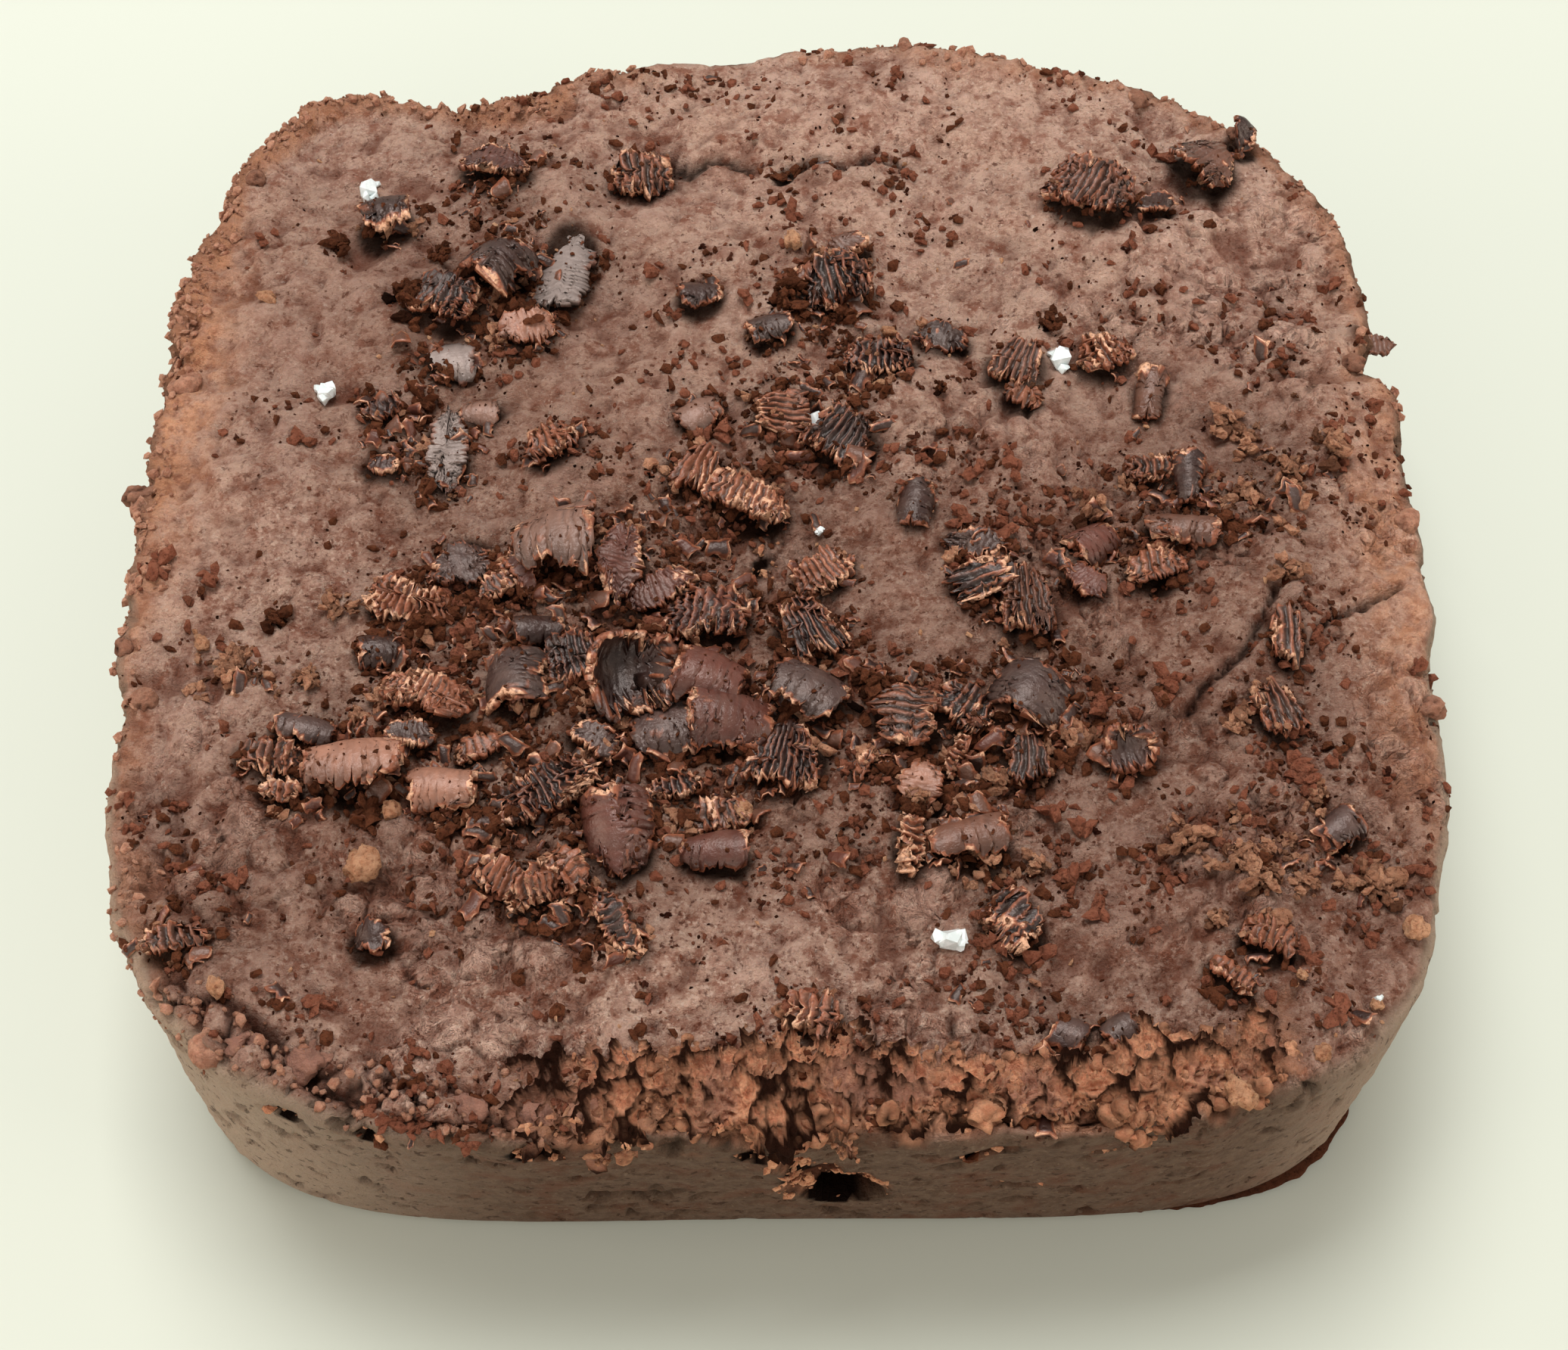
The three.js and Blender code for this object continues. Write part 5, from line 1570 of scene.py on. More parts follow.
def strewing_tree() -> bpy.types.NodeTree:
    """The Geometry Nodes tree that strews grains over a surface.

    Returns:
        The tree. Its inputs are Ground, Grains, Grains per square metre, Smallest, Largest, Sink, Darkest,
        Seed and Finish. The ground's mark density says where they lie.
    """
    tree = bpy.data.node_groups.new("strewing", "GeometryNodeTree")
    sockets = {
        "Ground": "NodeSocketGeometry",
        "Grains": "NodeSocketCollection",
        "Grains per square metre": "NodeSocketFloat",
        "Smallest": "NodeSocketFloat",
        "Largest": "NodeSocketFloat",
        "Sink": "NodeSocketFloat",
        "Darkest": "NodeSocketFloat",
        "Seed": "NodeSocketInt",
        "Finish": "NodeSocketMaterial",
    }
    for name, kind in sockets.items():
        tree.interface.new_socket(name, in_out="INPUT", socket_type=kind)
    tree.interface.new_socket("Strewn", in_out="OUTPUT", socket_type="NodeSocketGeometry")
    given = add_node(tree, "NodeGroupInput").outputs
    density = add_node(tree, "GeometryNodeInputNamedAttribute", {"Name": "density"}, data_type="FLOAT")
    full = given["Grains per square metre"]
    share = add_node(tree, "ShaderNodeMath", {0: density.outputs[0], 1: full}, operation="MULTIPLY")
    spots = add_node(tree, "GeometryNodeDistributePointsOnFaces", {
        "Mesh": given["Ground"], "Density": share.outputs[0], "Seed": given["Seed"],
    }, distribute_method="RANDOM")
    chance = {2: 0.0, 3: 1.0, "Seed": given["Seed"]}
    even = add_node(tree, "FunctionNodeRandomValue", chance, data_type="FLOAT")
    mostly_small = add_node(tree, "ShaderNodeMath", {0: even.outputs[1], 1: 3.0}, operation="POWER")
    size = add_node(tree, "ShaderNodeMapRange", {
        "Value": mostly_small.outputs[0], 3: given["Smallest"], 4: given["Largest"],
    })
    down = add_node(tree, "ShaderNodeMath", {0: size.outputs[0], 1: given["Sink"]}, operation="MULTIPLY")
    fall = {0: spots.outputs["Normal"], "Scale": down.outputs[0]}
    drop = add_node(tree, "ShaderNodeVectorMath", fall, operation="SCALE")
    lowered = {"Geometry": spots.outputs["Points"], "Offset": drop.outputs[0]}
    sunk = add_node(tree, "GeometryNodeSetPosition", lowered)
    spin = add_node(tree, "FunctionNodeRandomValue", {
        0: (-0.8, -0.8, 0.0), 1: (0.8, 0.8, math.tau), "Seed": given["Seed"],
    }, data_type="FLOAT_VECTOR")
    facing = add_node(tree, "FunctionNodeRotateRotation", {
        0: spots.outputs["Rotation"], 1: spin.outputs[0],
    }, rotation_space="LOCAL")
    grains = add_node(tree, "GeometryNodeCollectionInfo", {
        "Collection": given["Grains"], "Separate Children": True, "Reset Children": True,
    })
    placed = add_node(tree, "GeometryNodeInstanceOnPoints", {
        "Points": sunk.outputs[0], "Instance": grains.outputs[0], "Pick Instance": True,
        "Rotation": facing.outputs[0], "Scale": size.outputs[0],
    })
    shade = add_node(tree, "FunctionNodeRandomValue", {**chance, 2: given["Darkest"]}, data_type="FLOAT")
    marked = add_node(tree, "GeometryNodeStoreNamedAttribute", {
        "Geometry": placed.outputs[0], "Name": "shade", "Value": shade.outputs[1],
    }, domain="INSTANCE", data_type="FLOAT")
    real = add_node(tree, "GeometryNodeRealizeInstances", {"Geometry": marked.outputs[0]})
    dressed = {"Geometry": real.outputs[0], "Material": given["Finish"]}
    done = add_node(tree, "GeometryNodeSetMaterial", dressed)
    add_node(tree, "NodeGroupOutput", {"Strewn": done.outputs[0]})
    return tree


@dataclass
class Strewing:
    """Grains of one kind strewn over a surface, as many and as large as its fields say."""

    name: str
    grains: list[Shape]
    per_mm2: float
    smallest: float
    largest: float
    seed: int
    sink: float = -0.1
    smooth: bool = False
    darkest: float = 0.0

    def strew(
        self, tree: bpy.types.NodeTree, ground: Shape, density: Array, finish: bpy.types.Material
    ) -> bpy.types.Object:
        """Runs the tree and keeps its result as a plain mesh.

        Args:
            tree: The strewing tree.
            ground: The surface that the grains lie on.
            density: For each of its points, the share of the full number of grains.
            finish: The grains' material.

        Returns:
            The piece.
        """
        shelf = bpy.data.collections.new(self.name + "_grains")
        bpy.context.scene.collection.children.link(shelf)
        for index, grain in enumerate(self.grains):
            thing = new_object(f"{self.name}_grain_{index}", grain, None)
            bpy.context.scene.collection.objects.unlink(thing)
            shelf.objects.link(thing)
        bed = Shape(ground.points, ground.faces, {"density": density})
        carrier = new_object(self.name + "_ground", bed, None)
        modifier = carrier.modifiers.new("strewing", "NODES")
        modifier.node_group = tree
        values = {
            "Grains": shelf,
            "Grains per square metre": self.per_mm2 / MM**2,
            "Smallest": self.smallest,
            "Largest": self.largest,
            "Sink": -self.sink * MM,
            "Darkest": self.darkest,
            "Seed": self.seed,
            "Finish": finish,
        }
        for item in tree.interface.items_tree:
            if item.in_out == "INPUT" and item.name in values:
                modifier[item.identifier] = values[item.name]
        graph = bpy.context.evaluated_depsgraph_get()
        result = carrier.evaluated_get(graph)
        mesh = bpy.data.meshes.new_from_object(result, preserve_all_data_layers=True, depsgraph=graph)
        mesh.name = self.name
        piece = bpy.data.objects.new(self.name, mesh)
        bpy.context.scene.collection.objects.link(piece)
        carrier.modifiers.remove(modifier)
        for thing in [carrier, *shelf.objects]:
            bpy.data.objects.remove(thing)
        bpy.data.collections.remove(shelf)
        mesh.polygons.foreach_set("use_smooth", [self.smooth] * len(mesh.polygons))
        return piece


def turned(x: Array, y: Array, degrees: float) -> tuple[Array, Array]:
    """Splits places into their parts along a heading and across it.

    Args:
        x: Places to the right.
        y: Places to the back.
        degrees: The heading.

    Returns:
        The parts along the heading and those to its left.
    """
    cos, sin = math.cos(math.radians(degrees)), math.sin(math.radians(degrees))
    return x * cos + y * sin, y * cos - x * sin


@dataclass(frozen=True)
class Drift:
    """Where crumbs have drifted: middle, spread each way, heading, how many and how big."""

    x: float
    y: float
    along_x: float
    along_y: float
    turn: float = 0.0
    count: int = 0
    radius: float = 0.0

    def share(self, x: Array, y: Array) -> Array:
        """How thick the crumbs lie.

        Args:
            x: Places to the right.
            y: Places to the back.

        Returns:
            A share for each place, 1 in the middle of the drift.
        """
        along, across = turned(x - self.x, y - self.y, self.turn)
        return np.exp(-0.6 * ((along / self.along_x) ** 2 + (across / self.along_y) ** 2))


DRIFTS = (
    Drift(-5, -5, 4.6, 3.6, 0, 11, 0.47), Drift(15, -12.6, 2.2, 1.1, -10, 10, 0.5),
    Drift(16.6, 1.4, 1.1, 2.1, 0, 7, 0.5), Drift(-17, -5.8, 1.3, 0.7, 0, 4, 0.45),
    Drift(-11.5, 8.5, 2.6, 2.2, 0, 5, 0.5), Drift(6.2, -12, 0.9, 2.8, 8, 4, 0.45),
    Drift(1.5, 8.8, 1.8, 1.6, 0, 4, 0.45), Drift(0, 2, 9, 8, 0, 6, 0.42),
)

RUSTY_DRIFTS = DRIFTS[1:4] + DRIFTS[5:6]

# Thinner drifts of shreds and dust, which the solid leaves out.
DUST = (
    Drift(0.4, 15.7, 4.4, 0.5), Drift(-9, -9, 4.5, 2.6), Drift(-10, 14.5, 2.6, 1.8), Drift(2, 4, 2.6, 2.0),
    Drift(-1.5, 0.8, 2.4, 1.6), Drift(6.8, -7.5, 3.4, 2.0), Drift(13.6, 0, 2.2, 1.8),
    Drift(13, -7.4, 2.6, 1.2), Drift(-19.3, -12, 1.2, 4.0), Drift(-17.4, -14.6, 1.8, 1.6),
    Drift(8.8, -17.6, 3.6, 1.3), Drift(-6.5, -14, 2.4, 1.4), Drift(8, 12, 2.0, 1.2, -30),
    Drift(-12, 3.5, 2.0, 2.4), Drift(18, 8, 1.2, 3.2),
)

# Broad patches of painted shade on the top, and a fainter patch of the kind.
SHADED = (
    Drift(9, -10, 9, 7), Drift(17, -14, 5, 5), Drift(0, -4, 8, 6), Drift(14, 1, 4, 6),
    Drift(-15, -14, 7, 6),
)
SHADED_LEFT = Drift(-12, 8, 8, 8)


def drift_share(drifts: tuple[Drift, ...], x: Array, y: Array) -> Array:
    """How thick the crumbs of several drifts lie at each place, at most 1."""
    return np.clip(sum(drift.share(x, y) for drift in drifts), 0, 1)


def litter(x: Array, y: Array) -> Array:
    """How thick shreds and crumbs lie: round the shavings and in the drifts.

    Args:
        x: Places to the right.
        y: Places to the back.

    Returns:
        A share for each place.
    """
    thick = np.zeros_like(x)
    for shaving in SHAVINGS:
        spread = (shaving.long + shaving.wide) * 0.38
        thick = thick + np.exp(-((x - shaving.x) ** 2 + (y - shaving.y) ** 2) / spread**2) * 0.7
    return np.clip(thick + 0.6 * drift_share(DRIFTS[:-1] + DUST, x, y), 0, 1)


def shadow_under_shavings(x: Array, y: Array) -> Array:
    """Painted shadow: dark close round the foot of each shaving, most of all in front of it.

    Args:
        x: Places to the right.
        y: Places to the back.

    Returns:
        A share for each place.
    """
    thick = np.zeros_like(x)
    for shaving in SHAVINGS:
        along, across = turned(x - shaving.x, y - shaving.y + 0.35 * shaving.rise, shaving.turn)
        apart = np.hypot(2 * along / (shaving.long + 0.5), 2 * across / (shaving.wide + 0.5))
        thick = np.maximum(thick, 0.9 - 0.9 * smooth_step(apart, 0.75, 1.2))
    return thick


@dataclass
class Crumbs:
    """The larger crumbs, one by one: of the drifts, of the broken lip, of the rim, and the tan bits."""

    block: FudgeBlock
    sink_share: float = 0.35
    granule_radius: float = 0.46
    lip_from: float = -17.0
    lip_to: float = 15.0
    lip_count: int = 30
    lip_low: float = -0.9
    lip_high: float = 0.1
    edge_count: int = 12
    lip_inset: float = 0.5  # how much further in the crumbs lie than in the solid
    corner_draws: int = 12  # draws that the solid's grain takes for its corners
    heap_count: int = 26
    heap_spread: tuple[float, float, float] = (0.42, 0.42, 0.22)  # in radii, each way
    round_count: int = 3  # draws that the solid's grain takes for its stretch and turn
    edge_from: float = -35.0  # the heading of the first crumb of the rim, in degrees
    edge_span: float = 250.0
    drift_seed: int = 59
    lip_seed: int = 67
    rim_seed: int = 71
    tan_seed: int = 83
    heaps: tuple[tuple[float, float, float], ...] = (  # x, y and radius of the single rusty heaps
        (10.5, 0.6, 0.85), (-14.3, -3.1, 0.62), (14.4, -7.8, 0.6), (9.3, -8.3, 0.55),
    )
    edge_lumps: tuple[tuple[float, float, float, float], ...] = (  # x, y, z and radius
        (-21.5, 1.6, 9.7, 0.42), (-21.4, 0.9, 9.6, 0.38), (-16.6, -18.2, 10.0, 0.5),
    )
    tan_places: tuple[tuple[float, float, float, float], ...] = (  # x, y, radius and paleness
        (0.6, 11.8, 0.4, 1.0), (-12.7, -12.6, 0.45, 0.9), (3.9, 8.2, 0.25, 0.7), (-18.7, -4.5, 0.3, 0.5),
        (-16.5, -16.8, 0.3, 0.8), (-0.7, -8.8, 0.3, 0.7), (3.5, 5.7, 0.22, 0.9), (-18, 9.6, 0.3, 0.8),
        (19, -15, 0.35, 0.8), (13.1, -20.0, 0.45, 1.0), (-1.2, -10.9, 0.35, 0.9), (15.6, -19.0, 0.3, 0.7),
        (-12.0, -10.8, 0.4, 0.6), (15.3, -16.6, 0.22, 0.8), (17.5, -17.4, 0.2, 1.0), (3.2, -8.9, 0.24, 0.7),
    )

    def grain(self, stream: Stream, radius: float, squash: float, level: int, rough: float) -> Shape:
        """One crumb with the stretch and turn of the solid's own grain.

        Args:
            stream: Where the draws come from.
            radius: Its radius.
            squash: Its height as a share of its width.
            level: How finely it is made.
            rough: How craggy it is.

        Returns:
            Its shape about its own middle.
        """
        stretch = (stream.between(0.8, 1.3), stream.between(0.8, 1.2), squash)
        turn = stream.draw() * math.pi
        stream.skip(self.corner_draws)
        made = lump(radius, stretch, level, rough, stream.state % 997)
        made.marks["shade"] = np.clip(made.marks["shade"] + 0.5 * (stream.state % 101 / 101 - 0.5), 0, 1)
        return made.placed(Matrix.Rotation(turn, 4, "Z"))

    def heap(self, stream: Stream, radius: float) -> Shape:
        """A fluffy clump of crumbs.

        Args:
            stream: Where the draws come from.
            radius: Its rough radius.

        Returns:
            Its shape about its own middle, with the mark shade.
        """
        bits = []
        for _ in range(self.heap_count):
            size = radius * stream.between(0.2, 0.85)
            spot = Vector([stream.near_zero() * spread for spread in self.heap_spread]) * radius
            level = 2 if size > 0.5 * radius else 1
            # Grains higher in the heap are painted paler: painted highlight on its top, painted shade at its
            # foot.
            bits.append(tumbled(stream, spot, size, 0.6, level, 0.2 + 0.9 * spot.z / radius, 0.6))
        return joined(bits)

    def drifts(self) -> tuple[Shape, Shape]:
        """The crumbs that have drifted together on the top.

        Returns:
            The dark ones and the rusty ones.
        """
        stream = Stream(self.drift_seed)
        dark: list[Shape] = []
        rusty: list[Shape] = []
        for drift in DRIFTS:
            grains = rusty if drift in RUSTY_DRIFTS else dark
            turn = math.radians(drift.turn)
            for _ in range(drift.count):
                along = stream.near_zero() * drift.along_x
                across = stream.near_zero() * drift.along_y
                x = drift.x + along * math.cos(turn) - across * math.sin(turn)
                y = drift.y + along * math.sin(turn) + across * math.cos(turn)
                radius = drift.radius * stream.between(0.65, 1.25)
                stream.skip(self.round_count + self.corner_draws)
                grain = self.heap(Stream(stream.state), radius * 1.15)
                if self.block.inside(x, y) > 1:
                    z = float(self.block.top_height(x, y)) + radius * self.sink_share
                    grains.append(grain.placed(Matrix.Translation((x, y, z))))
        for x, y, radius in self.heaps:
            z = float(self.block.top_height(x, y)) + radius * 0.2
            rusty.append(self.heap(stream, radius).placed(Matrix.Translation((x, y, z))))
        return joined(dark), joined(rusty)

    def lip(self) -> Shape:
        """Makes the crumbs of the broken front lip, from its top down over its round.

        Returns:
            Their joined shape, with the marks shade and rosy.
        """
        stream = Stream(self.lip_seed)
        block = self.block
        grains = []
        for index in range(self.lip_count):
            x = self.lip_from + (self.lip_to - self.lip_from) * (index + stream.draw()) / self.lip_count
            depth = stream.draw()
            y = -float(block.front_edge(x)) + block.lip_radius * (0.3 + 1.5 * depth) + self.lip_inset
            radius = self.granule_radius * stream.between(0.65, 1.2)
            drop = stream.between(self.lip_low, self.lip_high)
            z = float(block.top_height(x, y)) + drop * (1 - depth) * 0.5 - 0.12
            grain = self.grain(stream, radius * 0.85, 0.9, 3, 0.8)
            left = 1 - float(smooth_step(x, -8, -2))
            grain.marks["shade"] = grain.marks["shade"] * (1 - 0.45 * left)
            grain.marks["rosy"] = np.full(len(grain.points), left)
            grains.append(grain.placed(Matrix.Translation((x, y, z - 0.2 * left))))
        return joined(grains)

    def rim(self) -> Shape:
        """Makes stray crumbs on the lip round the sides and the back, and the lump on the left edge.

        Returns:
            Their joined shape, with the mark shade.
        """
        stream = Stream(self.rim_seed)
        block = self.block
        grains = []
        for index in range(self.edge_count):
            heading = self.edge_from + self.edge_span * (index + stream.draw()) / self.edge_count
            heading = math.radians(heading)
            x, y = math.cos(heading), math.sin(heading)
            edge = float(block.reach(x, y, 1.0))
            out = edge + float(block.swing(x * edge, y * edge)) - stream.between(0.15, 0.9)
            radius = self.granule_radius * stream.between(0.6, 0.95)
            z = float(block.top_height(x * out, y * out))
            grain = self.grain(stream, radius, 0.75, 3, 0.5)
            grains.append(grain.placed(Matrix.Translation((x * out, y * out, z))))
        for x, y, z, radius in self.edge_lumps:
            grain = self.grain(stream, radius, 0.9, 3, 0.9)
            grains.append(grain.placed(Matrix.Translation((x, y, z))))
        return joined(grains)

    def tan_bits(self) -> Shape:
        """Makes small tan and cream bits.

        Returns:
            Their joined shape, with the mark shade.
        """
        stream = Stream(self.tan_seed)
        grains = []
        for x, y, radius, pale in self.tan_places:
            grain = self.grain(stream, radius * 0.8, 0.8, 3, 0.9)
            grain.marks["shade"] = np.clip(grain.marks["shade"] * 0.5 + pale * 0.6, 0, 1)
            z = float(self.block.top_height(x, y)) + radius * 0.3
            grains.append(grain.placed(Matrix.Translation((x, y, z))))
        return joined(grains)


@dataclass
class LipCrust:
    """The broken front lip: one long crust of crumbs grown together, with painted shade in the gaps between
    them and a painted highlight on their tops.
    """

    block: FudgeBlock
    start: float = -9.0
    end: float = 14.9
    steps: int = 380
    around: int = 80
    inset: float = 1.7  # from the edge of the top to the middle of the crust
    half_wide: float = 1.25
    half_high: float = 0.5
    sink: float = 0.2
    sizes: tuple[float, ...] = (1.0, 0.44, 0.23)  # of the clumps, the crumbs on them and their grain
    heights: tuple[float, ...] = (0.46, 0.34, 0.16)

    def build(self) -> Shape:
        """Makes the crust as one closed roll.

        Returns:
            Its shape, with the marks shade, rosy and high.
        """
        block = self.block
        share = np.linspace(0, 1, self.steps + 1)
        x = self.start + (self.end - self.start) * share
        line = np.stack([x, 0 * x, 0 * x], axis=1)
        ends = smooth_step(share, -0.01, 0.07) * smooth_step(1 - share, -0.01, 0.05)
        wide = self.half_wide * ends * (1 + 0.5 * fractal_noise(line, 2.8, 91, 3))
        wide = wide * (0.7 + 0.3 * smooth_step(x, -9, -4)) * (1 + 0.5 * fractal_noise(line, 0.9, 99, 2))
        middle = -block.front_edge(x) + self.inset + 0.3 * fractal_noise(line, 3.5, 92, 2)
        angle = np.arange(self.around) / self.around * math.tau
        y = middle[:, None] + wide[:, None] * np.cos(angle)
        x = np.broadcast_to(x[:, None], y.shape)
        low = self.sink + 0.35 * (1 - smooth_step(x, -8, -3))
        z = block.top_height(x, y) + self.half_high * ends[:, None] * np.sin(angle) - low
        points = np.stack([x, y, z], axis=-1).reshape(-1, 3)
        number = np.arange(len(points)).reshape(y.shape)
        shape = Shape(points, [grid_faces(number, True), np.stack([number[-1], number[0, ::-1]])])
        wander = [fractal_noise(points, 0.6, seed, 3) for seed in (93, 94, 95)]
        bent = points + 0.14 * np.stack(wander, axis=1)
        broad = fractal_noise(points, 1.4, 98, 2)
        domes = [cell_noise(bent, size, 96 + 5 * index) for index, size in enumerate(self.sizes)]
        out = 0.3 * broad
        for height, (dome, _) in zip(self.heights, domes):
            out = out + height * (dome - 0.6)
        (clump, which), (fine, kind), (grain, _) = domes
        shape.points = points + shape.normals() * (out * np.repeat(ends, self.around))[:, None]
        left = 1 - smooth_step(points[:, 0], -8, -4)
        # high is the raised part of the crust; shade turns it into a painted highlight on the crumbs and
        # painted shade in the gaps between them.
        high = smooth_step(clump + 0.7 * fine + 0.25 * grain + 0.7 * broad, 0.6, 1.35)
        pink = smooth_step(fractal_noise(points, 1.8, 99, 2), 0.0, 0.35)
        shape.marks = {
            "shade": smooth_step(high * (0.25 + 0.5 * which + 0.5 * kind) * (1 - 0.3 * left), -0.06, 0.92),
            "rosy": np.clip(0.7 * pink + left * (0.5 + 0.5 * kind), 0, 1) * high,
            "high": high,
        }
        return shape


@dataclass
class Salt:
    """Coarse salt: clusters of sharp crystals pressed into the top."""

    block: FudgeBlock
    radius: float = 0.5
    seed: int = 60
    crystals: int = 4  # in each cluster, the first the largest
    corners: int = 14  # the points that a crystal's faces are stretched over
    places: tuple[tuple[float, float, float], ...] = (  # x, y and size of each cluster
        (-14.9, 15.0, 1.0), (-15.5, 5.4, 0.85), (9.8, 6.6, 1.1), (1.3, 4.3, 0.75), (5.0, -15.3, 1.0),
        (-0.8, 0.6, 0.6), (1.4, -0.3, 0.35), (-12.3, -15.2, 0.35), (17.5, -17.2, 0.4),
    )

    def crystal(self, stream: Stream, radius: float) -> Shape:
        """One crystal about its own middle: the tightest hull over a few points near a ball.

        Args:
            stream: Where the draws come from.
            radius: Its rough radius.

        Returns:
            Its shape of triangles.
        """
        mesh = bmesh.new()
        for _ in range(self.corners):
            spot = Vector([stream.between(-1, 1) for _ in range(3)])
            mesh.verts.new(spot.normalized() * radius * stream.between(0.75, 1.1))
        bmesh.ops.convex_hull(mesh, input=mesh.verts)
        loose = [vert for vert in mesh.verts if not vert.link_faces]
        bmesh.ops.delete(mesh, geom=loose, context="VERTS")
        bmesh.ops.recalc_face_normals(mesh, faces=mesh.faces)
        points, faces = taken_out(mesh)
        return Shape(points, [faces])

    def build(self) -> Shape:
        """Makes the crystals.

        Returns:
            All of them as one shape of flat faces.
        """
        stream = Stream(self.seed)
        shapes = []
        for x, y, size in self.places:
            for index in range(self.crystals):
                radius = self.radius * size * (0.85 if index == 0 else stream.between(0.4, 0.65))
                crystal = self.crystal(stream, radius)
                apart = 0 if index == 0 else self.radius * size * 0.7
                heading = stream.draw() * math.tau
                place = (x + apart * math.cos(heading), y + apart * math.sin(heading))
                z = float(self.block.top_height(x, y)) + radius * 0.45
                shapes.append(crystal.placed(Matrix.Translation((*place, z))))
        return joined(shapes)


@dataclass
class Skirt:
    """The thin skirt of dough squeezed out under the front right corner."""

    block: FudgeBlock
    start: float = 297.0
    end: float = 324.0
    high: float = 0.5
    out: float = 1.1
    steps: int = 120
    around: int = 14

    def build(self) -> Shape:
        """Makes the skirt as one closed roll with a ragged outer edge.

        Returns:
            Its shape, with the mark shade.
        """
        block = self.block
        share = np.linspace(0, 1, self.steps + 1)
        heading = np.radians(self.start + (self.end - self.start) * share)
        foot = block.reach(np.cos(heading), np.sin(heading), 0.0) * block.foot_share
        swell = np.sin(np.pi * share) ** 0.6
        rows = []
        for index in range(self.around):
            angle = index / self.around * math.tau
            out = foot + self.out * (0.75 * swell * math.cos(angle) - 0.35)
            z = self.high * (0.5 + 0.5 * math.sin(angle)) * np.maximum(swell, 0.15)
            rows.append(np.stack([np.cos(heading) * out, np.sin(heading) * out, z], axis=1))
        points = np.stack(rows, axis=1).reshape(-1, 3)
        ragged = fractal_noise(points, 0.8, 71, 3)
        outward = points * [1, 1, 0] / np.linalg.norm(points * [1, 1, 0], axis=1)[:, None]
        points = points + outward * (0.22 * ragged)[:, None]
        points[:, 2] = np.maximum(points[:, 2], 0)
        number = np.arange(len(points)).reshape(self.steps + 1, self.around)
        caps = np.stack([number[0, ::-1], number[-1]])
        return Shape(points, [grid_faces(number, True)[:, ::-1], caps], {"shade": 0.45 + 0.35 * ragged})


# ---- studio ----


@dataclass(frozen=True)
class Light:
    """A square soft light that faces the fudge: its place, the length of its sides, power and colour."""

    name: str
    place: tuple[float, float, float]
    size: float
    watts: float
    colour: str

    def hang(self) -> None:
        """Adds the light to the scene."""
        data = bpy.data.lights.new(self.name, "AREA")
        data.size = self.size * MM
        data.energy = self.watts
        data.color = linear(self.colour)[:3]
        light = bpy.data.objects.new(self.name, data)
        light.location = Vector(self.place) * MM
        light.rotation_mode = "QUATERNION"
        light.rotation_quaternion = (-Vector(self.place)).to_track_quat("-Z", "Y")
        bpy.context.scene.collection.objects.link(light)


@dataclass
class Studio:
    """A plain pale floor, soft light from above, behind and all round, and the camera."""

    camera_place: tuple[float, float, float] = (-0.38, -43.5, 72.0)
    pitch: float = 58.74  # degrees that the camera looks down
    yaw: float = 0.79
    roll: float = 0.29
    lens: float = 52.02
    sensor: float = 36.0
    floor_half: float = 3000.0
    floor_drop: float = 0.02  # below the base, so that the two don't flicker
    lights: tuple[Light, ...] = (
        Light("key", (-42, 125, 335), 190, 1.2, "#ffffff"),
        Light("left", (-330, -60, 70), 165, 0.42, "#fff1e2"),
        Light("right", (330, -75, 75), 165, 0.5, "#fff3e6"),
        Light("front", (-60, -330, 60), 165, 0.34, "#fff5ea"),
    )
    sky_colour: str = "#fdfbf6"
    sky_strength: float = 0.49

    def build(self) -> None:
        """Makes the floor, the lights and the camera."""
        half = self.floor_half
        corners = np.array([(-half, -half, 0), (half, -half, 0), (half, half, 0), (-half, half, 0)], float)
        floor = new_object("floor", Shape(corners, [np.array([[0, 1, 2, 3]])]), PALE_PAPER.build(), False)
        floor.location.z = -self.floor_drop * MM
        for light in self.lights:
            light.hang()
        scene = bpy.context.scene
        scene.world = bpy.data.worlds.new("sky")
        scene.world.use_nodes = True
        sky = scene.world.node_tree.nodes["Background"]
        sky.inputs["Color"].default_value = linear(self.sky_colour)
        sky.inputs["Strength"].default_value = self.sky_strength
        scene.view_settings.view_transform = "Standard"
        scene.view_settings.look = "None"
        self.add_camera()

    def add_camera(self) -> None:
        """Sets the camera up where it sees the fudge from above its front."""
        pitch, yaw, roll = (math.radians(angle) for angle in (self.pitch, self.yaw, self.roll))
        forward = Vector((math.sin(yaw) * math.cos(pitch), math.cos(yaw) * math.cos(pitch), -math.sin(pitch)))
        right = Vector((math.cos(yaw), -math.sin(yaw), 0))
        up = right.cross(forward)
        side = right * math.cos(roll) + up * math.sin(roll)
        head = up * math.cos(roll) - right * math.sin(roll)
        data = bpy.data.cameras.new("camera")
        data.lens = self.lens
        data.sensor_fit = "HORIZONTAL"
        data.sensor_width = self.sensor
        data.clip_start = 1 * MM
        data.clip_end = 10.0
        camera = bpy.data.objects.new("camera", data)
        turn = Matrix((side, head, -forward)).transposed().to_4x4()
        camera.matrix_world = Matrix.Translation(Vector(self.camera_place) * MM) @ turn
        bpy.context.scene.collection.objects.link(camera)
        bpy.context.scene.camera = camera


# ---- the whole ----


